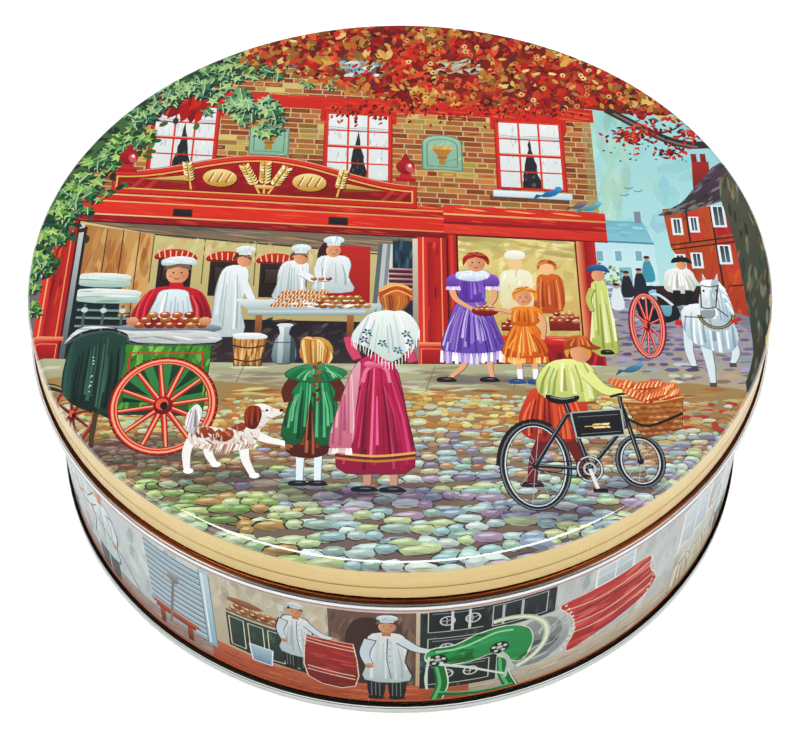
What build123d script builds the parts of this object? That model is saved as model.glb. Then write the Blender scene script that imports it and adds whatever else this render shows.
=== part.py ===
"""Round slip-lid tin: a seamed tinplate can with a lift-off cap lid.

Origin at the centre of the bottom seam, +Z up, millimetres. The tin is three
pressings of thin tinplate: the body wall, the base that is double-seamed to
it, and the lid, which rests on the curled rim of the body wall. Each is a
turned profile: the middle line of the sheet, thickened to the sheet.
"""
import os
from math import degrees

from build123d import *

os.makedirs("parts", exist_ok=True)

# Driving dimensions
sheet = 0.28                # tinplate thickness
lid_radius = 100.0          # outside of the lid's skirt
tin_height = 70.0           # floor to the top of the lid
skirt_bottom = 56.7         # lowest point of the lid's hem
wall_radius = 98.0          # outside of the printed wall
neck_radius = 98.4          # outside of the neck that the lid slides over
seam_height = 3.8           # height of the double seam
fold_gap = 0.02             # room between two layers of the folded seam
rest_gap = 0.1              # room between the curled rim and the lid's panel

# Lid
lid_corner = 2.5            # outside radius between panel and skirt
hem_radius = 0.6            # outside radius of the skirt's folded edge
hem_height = 1.8            # from the lowest point to the end of the fold
groove_z = 61.6             # fine groove rolled round the skirt
groove_height = 1.0
groove_depth = 0.2

# Body wall
rim_radius = 0.8            # outside radius of the curled rim
rim_turn = 250              # degrees that the curl turns through
bead_top_z = 55.7           # shoulder bead, just under the lid's hem
bead_middle_z = 54.1
bead_bottom_z = 51.4
bead_radius = 101.2         # outside of the bead at its middle

# Base
panel_z = 3.4               # underside of the recessed base panel
panel_corner = 1.2          # bend between the panel and its upright wall
foot_corner = 0.45          # outside radius of the two corners that the tin stands on
step_radius = 78.0          # start of the stiffening step pressed into the panel
step_run = 2.5
step_rise = 0.9             # how much higher the middle of the panel is

# Welded side seam of the body wall, at the back
weld_width = 1.2
weld_height = 0.12
weld_margin = 0.5           # bare wall above and below the weld

# Middle of each sheet layer in the double seam, from the inside outwards
half = sheet / 2
layer = sheet + fold_gap
wall_line = wall_radius - half
chuck_line = wall_line - layer
cover_hook_line = wall_line + layer
body_hook_line = cover_hook_line + layer
seam_line = body_hook_line + layer
hook_end_gap = 0.25         # room beyond the end of each hook
body_fold_z = half + 2 * layer
cover_fold_z = seam_height - half - layer


with BuildPart() as body_wall:
    neck_line = neck_radius - half
    curl = rim_radius - half
    curl_z = tin_height - sheet - rest_gap - rim_radius
    with BuildSketch(Plane.XZ):
        with BuildLine():
            CenterArc((neck_line - curl, curl_z), curl, 0, rim_turn)
            Line((neck_line, curl_z), (neck_line, bead_top_z))
            ThreePointArc(
                (neck_line, bead_top_z),
                (bead_radius - half, bead_middle_z),
                (wall_line, bead_bottom_z),
            )
            Line((wall_line, bead_bottom_z), (wall_line, body_fold_z))
            CenterArc((cover_hook_line, body_fold_z), layer, 180, 180)
            Line((body_hook_line, body_fold_z), (body_hook_line, cover_fold_z - hook_end_gap))
        trace(line_width=sheet)
    revolve(axis=Axis.Z)

    # The weld is a low ridge outside the wall, from the double seam to the bead.
    weld_bottom = seam_height + weld_margin
    weld_top = bead_bottom_z - weld_margin
    with BuildSketch(Plane.YZ):
        with Locations((wall_radius, (weld_bottom + weld_top) / 2)):
            Rectangle(2 * weld_height, weld_top - weld_bottom)
    revolve(axis=Axis.Z, revolution_arc=degrees(weld_width / wall_radius))
body_wall.part.label = "body_wall"


with BuildPart() as base:
    panel_line = panel_z + half
    foot = foot_corner - half
    bend = panel_corner - half
    with BuildSketch(Plane.XZ):
        with BuildLine():
            Line((0, panel_line + step_rise), (step_radius, panel_line + step_rise))
            Line((step_radius, panel_line + step_rise), (step_radius + step_run, panel_line))
            Line((step_radius + step_run, panel_line), (chuck_line - bend, panel_line))
            CenterArc((chuck_line - bend, panel_line - bend), bend, 0, 90)
            Line((chuck_line, panel_line - bend), (chuck_line, foot_corner))
            CenterArc((chuck_line + foot, foot_corner), foot, 180, 90)
            Line((chuck_line + foot, half), (seam_line - foot, half))
            CenterArc((seam_line - foot, foot_corner), foot, 270, 90)
            Line((seam_line, foot_corner), (seam_line, cover_fold_z))
            CenterArc((body_hook_line, cover_fold_z), layer, 0, 180)
            Line((cover_hook_line, cover_fold_z), (cover_hook_line, body_fold_z + hook_end_gap))
        trace(line_width=sheet)
    revolve(axis=Axis.Z)
base.part.label = "base"


with BuildPart() as lid:
    skirt_line = lid_radius - half
    hem = hem_radius - half
    corner_centre = (lid_radius - lid_corner, tin_height - lid_corner)
    hem_z = skirt_bottom + hem_radius
    groove_top = groove_z + groove_height / 2
    groove_bottom = groove_z - groove_height / 2
    with BuildSketch(Plane.XZ):
        with BuildLine():
            Line((0, tin_height - half), (corner_centre[0], tin_height - half))
            CenterArc(corner_centre, lid_corner - half, 0, 90)
            Line((skirt_line, corner_centre[1]), (skirt_line, groove_top))
            ThreePointArc(
                (skirt_line, groove_top),
                (skirt_line - groove_depth, groove_z),
                (skirt_line, groove_bottom),
            )
            Line((skirt_line, groove_bottom), (skirt_line, hem_z))
            CenterArc((skirt_line - hem, hem_z), hem, 180, 180)
            Line((skirt_line - 2 * hem, hem_z), (skirt_line - 2 * hem, skirt_bottom + hem_height))
        trace(line_width=sheet)
    revolve(axis=Axis.Z)
lid.part.label = "lid"


export_step(body_wall.part, "parts/body_wall.step")
export_step(base.part, "parts/base.step")
export_step(lid.part, "parts/lid.step")
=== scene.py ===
"""Looks of a round lithographed tin: printed pictures, lacquer, tinplate, studio.

The tin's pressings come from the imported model. This script gives them their
metals and adds the two prints, one on the lid and one round the wall. A print
is a list of flat painted shapes that is cut into one sheet of coloured
triangles and then bent onto the tin. Pictures are drawn in millimetres.
"""

import contextlib
import math
import random

import bmesh
import bpy
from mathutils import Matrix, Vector
from mathutils.geometry import delaunay_2d_cdt


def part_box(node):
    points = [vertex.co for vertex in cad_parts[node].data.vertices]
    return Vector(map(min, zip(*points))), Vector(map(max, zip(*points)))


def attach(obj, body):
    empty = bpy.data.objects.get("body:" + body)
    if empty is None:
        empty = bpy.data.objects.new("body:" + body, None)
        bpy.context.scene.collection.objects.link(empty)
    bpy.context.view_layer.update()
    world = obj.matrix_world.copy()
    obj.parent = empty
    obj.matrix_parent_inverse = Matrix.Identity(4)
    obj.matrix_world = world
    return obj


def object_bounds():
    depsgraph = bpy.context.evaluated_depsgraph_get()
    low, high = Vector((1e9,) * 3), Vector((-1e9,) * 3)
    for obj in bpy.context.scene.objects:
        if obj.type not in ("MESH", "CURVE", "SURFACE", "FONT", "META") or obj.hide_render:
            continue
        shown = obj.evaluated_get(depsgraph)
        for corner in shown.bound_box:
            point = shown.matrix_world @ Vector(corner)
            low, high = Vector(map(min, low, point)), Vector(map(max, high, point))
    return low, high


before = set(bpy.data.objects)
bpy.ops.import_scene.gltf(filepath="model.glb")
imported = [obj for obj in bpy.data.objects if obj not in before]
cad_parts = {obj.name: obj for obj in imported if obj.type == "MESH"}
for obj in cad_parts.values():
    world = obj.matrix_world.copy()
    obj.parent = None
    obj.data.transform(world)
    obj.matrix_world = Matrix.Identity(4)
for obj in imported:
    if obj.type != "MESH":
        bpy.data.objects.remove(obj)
cad_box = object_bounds()

MM = 0.001
TIN_HEIGHT = cad_box[1][2]
LID_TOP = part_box("lid")[1].z / MM
LID_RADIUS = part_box("lid")[1].x / MM
MOST_MATERIALS = 32000      # a face's material number is a short integer
STRAIGHT = 0.06             # radians of turn under which a point of an edge isn't needed


# ---------------------------------------------------------------- outlines

def ellipse(x, y, rx, ry=None, turn=0, count=16, start=0, sweep=360):
    """Points round an ellipse, or along part of one. Angles in degrees."""
    ry = rx if ry is None else ry
    closed = sweep == 360
    steps = count if closed else count - 1
    cos, sin = math.cos(math.radians(turn)), math.sin(math.radians(turn))
    points = []
    for i in range(count):
        a = math.radians(start + sweep * i / steps)
        u, v = rx * math.cos(a), ry * math.sin(a)
        points.append((x + u * cos - v * sin, y + u * sin + v * cos))
    return points


def rect(left, bottom, right, top):
    return [(left, bottom), (right, bottom), (right, top), (left, top)]


def curve(points, closed=False, per=4):
    """A smooth line through the points (Catmull-Rom), with per steps a span."""
    n = len(points)
    line = []
    for i in range(n if closed else n - 1):
        if closed:
            a, b, c, d = (points[(i + k) % n] for k in (-1, 0, 1, 2))
        else:
            a, b, c, d = (points[min(max(i + k, 0), n - 1)] for k in (-1, 0, 1, 2))
        for s in range(per):
            t = s / per
            line.append(tuple(
                0.5 * (2 * q + (r - p) * t + (2 * p - 5 * q + 4 * r - e) * t * t
                       + (3 * q - p - 3 * r + e) * t ** 3)
                for p, q, r, e in zip(a, b, c, d)
            ))
    return line if closed else line + [points[-1]]


def loop(*points, per=3):
    return curve(points, closed=True, per=per)


def ribbon(points, start, end=None, per=4):
    """Outline of a brush stroke along the points, from one width to another."""
    end = start if end is None else end
    path = curve(points, per=per) if len(points) > 2 else list(points)
    left, right = [], []
    for i, (x, y) in enumerate(path):
        x0, y0 = path[max(i - 1, 0)]
        x1, y1 = path[min(i + 1, len(path) - 1)]
        length = math.hypot(x1 - x0, y1 - y0) or 1
        half = (start + (end - start) * i / (len(path) - 1)) / 2
        nx, ny = -(y1 - y0) / length * half, (x1 - x0) / length * half
        left.append((x + nx, y + ny))
        right.append((x - nx, y - ny))
    return left + right[::-1]


# ------------------------------------------------------------------ colour

def rgb(ink):
    """An ink written as six hex digits, as three numbers from 0 to 1."""
    return tuple(int(ink[i:i + 2], 16) / 255 for i in (0, 2, 4)) if isinstance(ink, str) else ink


def blend(ink, other, t):
    return tuple(a + (b - a) * t for a, b in zip(rgb(ink), rgb(other)))


def linear(channel):
    channel = min(max(channel, 0), 1)
    return channel / 12.92 if channel <= 0.04045 else ((channel + 0.055) / 1.055) ** 2.4


def area(points):
    """Signed area of an outline, positive where it runs anticlockwise."""
    ring = zip(points, points[1:] + points[:1])
    return sum(a[0] * b[1] - b[0] * a[1] for a, b in ring) / 2


class Picture:
    """Shapes in painter's order, each a flat or graded ink, cut into one sheet."""

    def __init__(self, sheet, seed):
        self.chance = random.Random(seed)
        self.shapes = []
        self.masks = ()
        self.origin = (0, 0, 1, 1)
        self.warp = None
        self.paint(sheet, "808080")

    @contextlib.contextmanager
    def at(self, x, y, scale=1, flip=1):
        """Draws with the given point as the origin, scaled, and mirrored if flip is -1."""
        kept = self.origin
        ox, oy, sx, sy = kept
        self.origin = (ox + x * sx, oy + y * sy, sx * scale * flip, sy * scale)
        yield
        self.origin = kept

    @contextlib.contextmanager
    def inside(self, *shapes):
        """Keeps what is drawn within the given shapes."""
        kept = self.masks
        self.masks = kept + shapes
        yield
        self.masks = kept

    def place(self, point):
        ox, oy, sx, sy = self.origin
        x, y = ox + point[0] * sx, oy + point[1] * sy
        return self.warp(x, y) if self.warp else (x, y)

    def vary(self, ink, amount=0.06):
        """The ink, or one of a list of inks, a little lighter or darker at random."""
        ink = rgb(self.chance.choice(ink) if isinstance(ink, (list, tuple)) else ink)
        lift = self.chance.uniform(-amount, amount)
        return tuple(min(max(c + lift + self.chance.uniform(-amount, amount) / 3, 0), 1) for c in ink)

    def paint(self, outline, ink, ink2=None, axis="y", alpha=1.0, alpha2=None):
        """Adds a shape. ink2 and alpha2 are what it fades to, downwards or to the right."""
        points = [self.place(p) for p in outline]
        if area(points) < 0:
            points.reverse()
        xs, ys = [p[0] for p in points], [p[1] for p in points]
        if axis == "y":
            ends = ((0, max(ys)), (0, min(ys)))
        elif axis == "x":
            ends = ((min(xs), 0), (max(xs), 0))
        else:
            ends = tuple(self.place(p) for p in axis)
        graded = ink2 is not None or alpha2 is not None
        ink2 = ink if ink2 is None else ink2
        alpha2 = alpha if alpha2 is None else alpha2
        self.shapes.append({
            "points": points, "masks": self.masks, "ends": ends, "graded": graded,
            "inks": (rgb(ink) + (alpha,), rgb(ink2) + (alpha2,)),
            "solid": min(alpha, alpha2) >= 1,
        })
        return len(self.shapes) - 1

    def colour(self, stack, x, y):
        """What the shapes in the stack, lowest first, look like at one point."""
        result = (0.5, 0.5, 0.5)
        for index in stack:
            shape = self.shapes[index]
            first, last = shape["inks"]
            if shape["graded"]:
                (x0, y0), (x1, y1) = shape["ends"]
                dx, dy = x1 - x0, y1 - y0
                t = ((x - x0) * dx + (y - y0) * dy) / (dx * dx + dy * dy or 1)
                t = min(max(t, 0), 1)
                first = tuple(a + (b - a) * t for a, b in zip(first, last))
            alpha = first[3]
            result = tuple(a + (b - a) * alpha for a, b in zip(result, first))
        return result

    def stack(self, ids):
        """Which of the shapes over a triangle show: the top solid one and what is over it."""
        over = set(ids)
        shown = []
        for index in sorted(ids, reverse=True):
            shape = self.shapes[index]
            if all(mask in over for mask in shape["masks"]):
                shown.append(index)
                if shape["solid"]:
                    break
        return tuple(reversed(shown))

    def cut(self, keep, cuts):
        corners, faces = [], []
        for index in keep:
            points = self.shapes[index]["points"]
            faces.append(range(len(corners), len(corners) + len(points)))
            corners += [Vector(p) for p in points]
        edges = []
        for line in cuts:
            edges.append((len(corners), len(corners) + 1))
            corners += [Vector(p) for p in line]
        found = delaunay_2d_cdt(corners, edges, faces, 1, 1e-5, True)
        stacks = [self.stack([keep[i] for i in ids]) if 0 in ids else () for ids in found[5]]
        return found[0], found[2], stacks

    def sheet(self, cuts, zone):
        """The picture as a flat mesh: points, triangles and a colour for each corner.

        Hidden shapes are dropped first. Triangles that look alike and lie in
        the same zone are then joined, which leaves only edges that show.
        """
        seen = {0}
        for stack in self.cut(range(len(self.shapes)), ())[2]:
            for index in stack:
                seen.add(index)
                seen.update(self.shapes[index]["masks"])
        points, faces, stacks = self.cut(sorted(seen), cuts)
        flat = bmesh.new()
        region = flat.faces.layers.int.new("region")
        corners = [flat.verts.new((x, y, 0)) for x, y in points]
        regions = {}
        for face, stack in zip(faces, stacks):
            if not stack:
                continue
            made = flat.faces.new([corners[i] for i in face])
            x, y, _ = made.calc_center_median()
            made[region] = regions.setdefault((stack, zone(x, y)), len(regions))
            made.material_index = made[region] % MOST_MATERIALS
        for corner in [v for v in flat.verts if not v.link_faces]:
            flat.verts.remove(corner)
        flat.normal_update()
        bmesh.ops.dissolve_limit(
            flat, angle_limit=STRAIGHT, use_dissolve_boundaries=False,
            verts=flat.verts, edges=flat.edges, delimit={"MATERIAL"},
        )
        bmesh.ops.triangulate(flat, faces=flat.faces)
        flat.verts.index_update()
        stacks = [stack for stack, _ in regions]
        points = [(v.co.x, v.co.y) for v in flat.verts]
        faces, colours = [], []
        for face in flat.faces:
            faces.append([v.index for v in face.verts])
            stack = stacks[face[region]]
            colours.append([self.colour(stack, v.co.x, v.co.y) for v in face.verts])
        flat.free()
        return points, faces, colours


# ------------------------------------------------------------ print meshes

LID_CORNER = 2.5            # outside radius of the lid's edge, as it is pressed
PRINT_LIFT = 0.03           # how far a print stands off its metal
PRINT_TURN = 78.0           # degrees of the lid's edge that the picture wraps over
CORNER_ARC = LID_CORNER + PRINT_LIFT
FLAT_RADIUS = LID_RADIUS - LID_CORNER
LID_PRINT_RADIUS = FLAT_RADIUS + math.radians(PRINT_TURN) * CORNER_ARC
RIM_TURNS = (0, 15, 30, 45, 60)     # degrees down the lid's edge where the sheet is cut


def onto_lid(x, y):
    """A point of the lid's picture on the lid, and the surface's normal there, in mm."""
    reach = math.hypot(x, y)
    if reach <= FLAT_RADIUS:
        return (x, y, LID_TOP + PRINT_LIFT), (0, 0, 1)
    turn = (reach - FLAT_RADIUS) / CORNER_ARC
    radius = FLAT_RADIUS + CORNER_ARC * math.sin(turn)
    height = LID_TOP - LID_CORNER + CORNER_ARC * math.cos(turn)
    ux, uy = x / reach, y / reach
    normal = (ux * math.sin(turn), uy * math.sin(turn), math.cos(turn))
    return (ux * radius, uy * radius, height), normal


def rim_cuts():
    """Rings of short lines where the lid's picture starts to bend, and down the bend."""
    cuts = []
    for turn in RIM_TURNS:
        ring = ellipse(0, 0, FLAT_RADIUS + math.radians(turn) * CORNER_ARC, count=360)
        cuts += list(zip(ring, ring[1:] + ring[:1]))
    return cuts


def rim_zone(x, y):
    turn = math.degrees((math.hypot(x, y) - FLAT_RADIUS) / CORNER_ARC)
    ring = sum(turn > t for t in RIM_TURNS)
    return (ring, int(math.degrees(math.atan2(y, x)) / 6) if ring else 0)


def print_mesh(name, pic, bend, cuts, zone):
    """Cuts a picture into triangles, bends them onto the tin, and keeps each corner's colour."""
    points, faces, colours = pic.sheet(cuts, zone)
    bent = [bend(x, y) for x, y in points]
    mesh = bpy.data.meshes.new(name)
    mesh.from_pydata([[c * MM for c in place] for place, _ in bent], [], faces)
    ink = mesh.color_attributes.new("ink", "FLOAT_COLOR", "CORNER")
    flat = []
    for face in colours:
        for colour in face:
            flat += [linear(c) for c in colour[:3]] + [1.0]
    ink.data.foreach_set("color", flat)
    mesh.shade_smooth()
    mesh.normals_split_custom_set_from_vertices([normal for _, normal in bent])
    piece = bpy.data.objects.new(name, mesh)
    bpy.context.collection.objects.link(piece)
    print(name, len(faces), "triangles from", len(pic.shapes), "shapes")
    return piece


# ------------------------------------------------------------- brushwork

def daub(pic, x, y, length, width, turn, ink, alpha=1.0):
    """One dab of a brush: a pointed oval."""
    cos, sin = math.cos(math.radians(turn)), math.sin(math.radians(turn))
    outline = ((-1, 0), (-0.4, 1), (0.45, 0.8), (1, 0), (0.4, -1), (-0.5, -0.8))
    points = []
    for u, v in outline:
        u, v = u * length / 2, v * width / 2
        points.append((x + u * cos - v * sin, y + u * sin + v * cos))
    return pic.paint(points, ink, alpha=alpha)


def dabs(pic, box, count, length, width, inks, turn=0, spread=15, alpha=1.0):
    """Dabs at random places in a box, in inks picked at random."""
    left, bottom, right, top = box
    chance = pic.chance
    for _ in range(count):
        size = chance.uniform(0.6, 1.3)
        daub(
            pic, chance.uniform(left, right), chance.uniform(bottom, top),
            length * size, width * chance.uniform(0.7, 1.3),
            turn + chance.uniform(-spread, spread), pic.vary(inks), alpha,
        )


def blob(pic, x, y, rx, ry, ink, ink2=None, turn=0, count=9, rough=0.12, **more):
    """A roundish patch with an uneven edge."""
    points = []
    for u, v in ellipse(0, 0, 1, 1, turn, count):
        reach = 1 + pic.chance.uniform(-rough, rough)
        points.append((x + u * rx * reach, y + v * ry * reach))
    return pic.paint(points, ink, ink2, **more)


def line(pic, points, width, ink, end=None, alpha=1.0):
    return pic.paint(ribbon(points, width, end), ink, alpha=alpha)


def outlined(pic, outline, ink, ink2=None, edge="2a2320", width=0.22, **more):
    """A shape with a thin painted edge."""
    shape = pic.paint(outline, ink, ink2, **more)
    path = list(outline) + [outline[0]]
    for a, b in zip(path, path[1:]):
        pic.paint(ribbon((a, b), width), edge)
    return shape


def folds(pic, shape, left, right, top, bottom, inks, count, gather=0.6, width=0.9, alpha=0.8):
    """Cloth folds that fan out downwards from a gathered top, kept within a shape."""
    middle = (left + right) / 2
    with pic.inside(shape):
        for i in range(count):
            t = (i + pic.chance.uniform(0.2, 0.8)) / count
            foot = left + (right - left) * t
            head = middle + (foot - middle) * gather
            high = top - (top - bottom) * pic.chance.uniform(0, 0.35)
            low = bottom + (top - bottom) * pic.chance.uniform(0, 0.3)
            bow = (foot - middle) * 0.08
            line(
                pic, ((head, high), ((head + foot) / 2 + bow, (high + low) / 2), (foot, low)),
                width * 0.35, pic.vary(inks), width * pic.chance.uniform(0.6, 1.2), alpha,
            )


def frill(pic, left, right, y, height, inks, count, dip=0.0):
    """A row of pleats hanging from a line that may dip in the middle."""
    for i in range(count):
        t = (i + 0.5) / count
        x = left + (right - left) * t
        sag = dip * 4 * t * (1 - t)
        drop = height * pic.chance.uniform(0.8, 1.2)
        wide = (right - left) / count * 0.62
        tip = (x, y - sag - drop)
        pic.paint(
            ((x - wide * 0.6, y - sag), (x + wide * 0.6, y - sag), (x + wide, tip[1]), (x - wide, tip[1])),
            pic.vary(inks),
        )


# ---------------------------------------------------- lid picture: the far end

SKY = ("a9d9dc", "b4dfdd", "9fd2dc", "bfe3d8", "a4d6d2")
AUTUMN = ("c3271f", "a41d22", "d8442b", "8c1a1e", "b5502c", "6e2320", "e0613a", "c93a24")
OCHRE = ("c98a3e", "a9743a", "d9a653", "8a6a35", "e3c27c", "b98e4b")
BRICK = ("b46a38", "a65c31", "c07a42", "b9773f", "9c5630", "c98d4f", "ab6536")
GOLD = "e6c56f"


def sky(pic):
    pic.paint(rect(48, -30, 101, 75), "a6d8dc", "c2e6e6")
    dabs(pic, (50, 10, 100, 66), 90, 9, 4, SKY, 70, 40, 0.45)
    dabs(pic, (54, 12, 66, 60), 40, 12, 3, ("b8dcc8", "c3e2cf", "acd6c6"), 85, 10, 0.5)


def cottages(pic):
    """Pale blue cottages in the haze at the end of the street."""
    pic.paint(rect(50, -12, 69, 9), "c6e4ea", "d3ecee")
    pic.paint(((49, 15), (66.5, 14), (69, 6), (49, 7)), "7fbccb", "97cad5")
    dabs(pic, (50, 8, 67, 13.5), 26, 5, 0.7, ("6fb0c3", "8fc6d2", "a7d6de"), -4, 6, 0.7)
    line(pic, ((49, 7), (69, 5.6)), 0.7, "5d9bb0")
    for x in (53, 58, 63.5):
        outlined(pic, rect(x, -1, x + 2, 3), "8db9c6", edge="e3f2f3")
    outlined(pic, rect(59, -9, 62, -3.4), "9cc3cf", edge="7ba6b5")
    pic.paint(rect(64.5, 13.5, 66.3, 18), "8f9aa8")
    pic.paint(rect(84, -9, 99, 12), "b9d5dd", "a9c6d2")
    for i in range(90):
        x, y = pic.chance.uniform(49, 61), pic.chance.uniform(-12, 1)
        if y < 1 - (x - 49) * 0.5:
            daub(pic, x, y, 1.3, 0.8, i * 40, pic.vary(("8fa35c", "b9bf6d", "6f8f5a", "d2cf8a", "5f8060")))


def timber_house(pic):
    """A leaning red house under an old tiled roof."""
    walls = pic.paint(((72.5, 19), (97, 21), (99, -24), (84, -18), (73.5, 4)), "c4602f", "b5492c")
    with pic.inside(walls):
        pic.paint(((86, 26), (99, 28), (99, 10), (86.5, 9)), "c92f47", "b9283c")
        pic.paint(((79, 20), (82.4, 20), (82.4, 7), (79, 7)), "cf4a3a")
        pic.paint(((86.5, 8), (99, 8), (99, -10), (88, -10)), "c2413a", "cf5a33")
        dabs(pic, (72, -20, 98, 24), 90, 5, 1.0, ("d8743c", "b4552d", "c9414a", "a53a2b"), 80, 20, 0.5)
        for a, b in (((73, 5), (98, 9.5)), ((74, 3.4), (98, 7.6)), ((85.8, 24), (86.2, -18)),
                     ((79, 20), (79, 6)), ((88, -10), (99, -9))):
            line(pic, (a, b), 0.55, "4b2a26")
    for x, y, w, h in ((75, 9.5, 2, 5.6), (79.8, 10.5, 1.8, 5.2), (86.4, 12.5, 2.8, 7.5),
                       (74.6, -3.4, 2, 4.8), (79, -3, 2.2, 5), (86.6, -1.5, 2.6, 6.4)):
        pic.paint(rect(x - 0.5, y - 0.6, x + w + 0.5, y + h + 0.3), "dfe9ea")
        outlined(pic, rect(x, y, x + w, y + h), "3e4a55", "66808b", edge="f1f4f2", width=0.3)
        line(pic, ((x + w / 2, y), (x + w / 2, y + h)), 0.22, "e9efee")
    outlined(pic, rect(92.4, -15.5, 96.4, -8.6), "a6a35c", edge="e6e8d8", width=0.5)
    for x in (83.4, 86):
        pic.paint(rect(x - 0.8, 37, x + 0.8, 41.2), "a8342f", "7d2b2a")
    pic.paint(((81.8, 25), (82.6, 38), (87.4, 38), (87.2, 28)), "b23a31", "8a2f2c")
    roof = pic.paint(
        loop((71, 16.4), (78, 21.5), (83, 28.4), (90.5, 37.6), (97, 33), (101, 20), (97, 24), (88, 21.5),
             (80, 18)),
        "62525f", "4a3f49",
    )
    with pic.inside(roof):
        dabs(pic, (71, 15, 100, 38), 120, 4.2, 0.8, ("7a6a78", "4e4450", "8d8290", "695664"), 38, 18, 0.8)
        dabs(pic, (71, 15, 88, 22), 40, 4, 0.9, ("a9a08f", "7f8a80"), 32, 10, 0.7)


def far_street(pic):
    """Cobbles in shade between the shop and the houses, and people far off."""
    road = pic.paint(loop((47, -12), (62, -10), (84, -14), (100, -22), (100, -50), (70, -52), (47, -46)),
                     "9a96b4", "c1b392")
    with pic.inside(road):
        dabs(pic, (47, -16, 86, -10), 40, 6, 1.2, ("cfe6e4", "b4cfd6", "dfeef0"), 0, 6, 0.8)
        y = -13.0
        while y > -50:
            depth = 1.0 + (-13 - y) * 0.035
            x = 46.0
            while x < 99:
                wide = depth * pic.chance.uniform(1.6, 3.2)
                inks = ("8f8bb0", "a59cc0", "7d7aa2", "b9c6cf", "9fb5bb", "6d6790") if y > -40 else (
                    "b8a47c", "cdbd92", "a08c78", "c9d0b0", "9b8fa8")
                if pic.chance.random() < 0.8:
                    blob(pic, x + wide / 2, y, wide * 0.42, depth * 0.36, pic.vary(inks), count=6)
                x += wide
            y -= depth
        dabs(pic, (52, -46, 90, -24), 60, 4, 0.7, ("57507a", "6b6388"), 0, 10, 0.55)
    pic.paint(loop((84, -16), (99, -20), (99, -30), (90, -25)), "7c7f8c", "9b9a9c", alpha=0.8)
    # Small walkers
    for x, y, coat in ((66.5, 0, "4fa3b5"), (60.5, -5.5, "31343f"), (64, -4.5, "2f3644"),
                       (57.5, -10, "dfe8ea")):
        pic.paint(loop((x - 0.9, y - 1.2), (x + 0.9, y - 1.2), (x + 1.7, y - 8), (x - 1.7, y - 8)), coat)
        pic.paint(ellipse(x, y - 0.1, 0.75, 0.95, count=8), "caa084")
        pic.paint(ellipse(x, y + 0.5, 0.9, 0.55, count=8), "3a3436")


def tree_trunk(pic):
    trunk = pic.paint(loop((89.5, 30), (101, 34), (101, -40), (88, -46), (91, -34), (91.5, -18), (91, 6)),
                      "6a6a58", "414a42")
    with pic.inside(trunk):
        dabs(pic, (88, -44, 101, 32), 130, 6, 0.8,
             ("7c8b76", "3a4a45", "93a08a", "6a6150", "9a8468", "5a4a3c"), 82, 12, 0.75)


def branch(pic):
    """The bare end of a bough against the sky, with its last red leaves."""
    line(pic, ((60, 60), (68, 53.5), (76, 47.5), (84, 44.8), (94, 46.5)), 2.6, "4a3a3a", 3.2)
    line(pic, ((62, 58.4), (69, 52.6), (77, 46.6), (85, 44)), 0.8, "8a7f7a")
    line(pic, ((73, 49.5), (78, 51), (82, 54)), 0.9, "4a3a3a", 0.4)
    for x, y, spread, count in ((66, 48, 5, 70), (72, 51, 5, 50), (78, 42, 4, 40), (84, 50, 6, 60),
                                (90, 56, 5, 50)):
        for _ in range(count):
            px, py = pic.chance.gauss(x, spread * 0.55), pic.chance.gauss(y, spread * 0.4)
            daub(pic, px, py, 1.9, 0.9, pic.chance.uniform(0, 180), pic.vary(AUTUMN + ("511a1c",)))
    dabs(pic, (58, 38, 82, 46), 26, 0.9, 0.5, ("5a1f20", "3c2a2c"), 30, 80)


def flying_birds(pic):
    for x, y in ((64, 27), (66.5, 25.8), (62.6, 24.2)):
        line(pic, ((x - 1.2, y + 0.5), (x, y), (x + 1.2, y + 0.7)), 0.3, "5f7f8c")


# ------------------------------------------------- lid picture: the shop house

def facade(x, y):
    """The house is seen a little from the left: level lines fall to the right, less so lower down."""
    return x, y - 0.075 * (x + 40) * min(max((y + 45) / 60, 0), 1)


def brick_wall(pic):
    wall = pic.paint(rect(-86, 16, 55, 79), "d8c79f", "cdbb93")
    course, mortar = 2.15, 0.36
    with pic.inside(wall):
        row = 0
        y = 16.5
        while y < 78:
            x = -86 + (row % 2) * 2.9
            while x < 55:
                wide = pic.chance.choice((5.4, 5.8, 5.6, 3.0))
                inks = BRICK
                patch = math.sin(x * 0.21 + y * 0.13) + math.sin(x * 0.07 - y * 0.31)
                if patch > 1.25:
                    inks = ("c9b765", "bda75c", "d3c27a", "b99455")
                elif pic.chance.random() < 0.16:
                    inks = ("c9a15c", "a5823f", "8e4f2c", "c07f52")
                brick = pic.paint(rect(x, y, x + wide - mortar, y + course - mortar), pic.vary(inks, 0.05))
                if pic.chance.random() < 0.35:
                    with pic.inside(brick):
                        daub(pic, x + wide / 2, y + 0.9, 4, 0.8, 4, pic.vary(inks, 0.12), 0.8)
                x += wide
            y += course
            row += 1
    pic.paint(rect(52.5, 22, 55, 64), "b9b086", "a9a27c", alpha=0.55)


def lintels(pic):
    shape = pic.paint(rect(-78, 61.5, 56, 67), "e0402e", "c9302a")
    for x in (-62, -12, 37):
        pic.paint(rect(x - 11, 56.5, x + 11, 66.5), "dc3a2d", "cf332b")
    with pic.inside(shape):
        dabs(pic, (-50, 62, 56, 67), 70, 6, 0.7, ("e8693a", "c42a28", "d98a3f", "ee5a3c"), -5, 6, 0.8)
    for x in (-62, -12, 37):
        dabs(pic, (x - 9, 57.5, x + 9, 61), 12, 6, 0.5, ("e87c42", "f0563c", "b92626"), -5, 5, 0.8)


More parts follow.
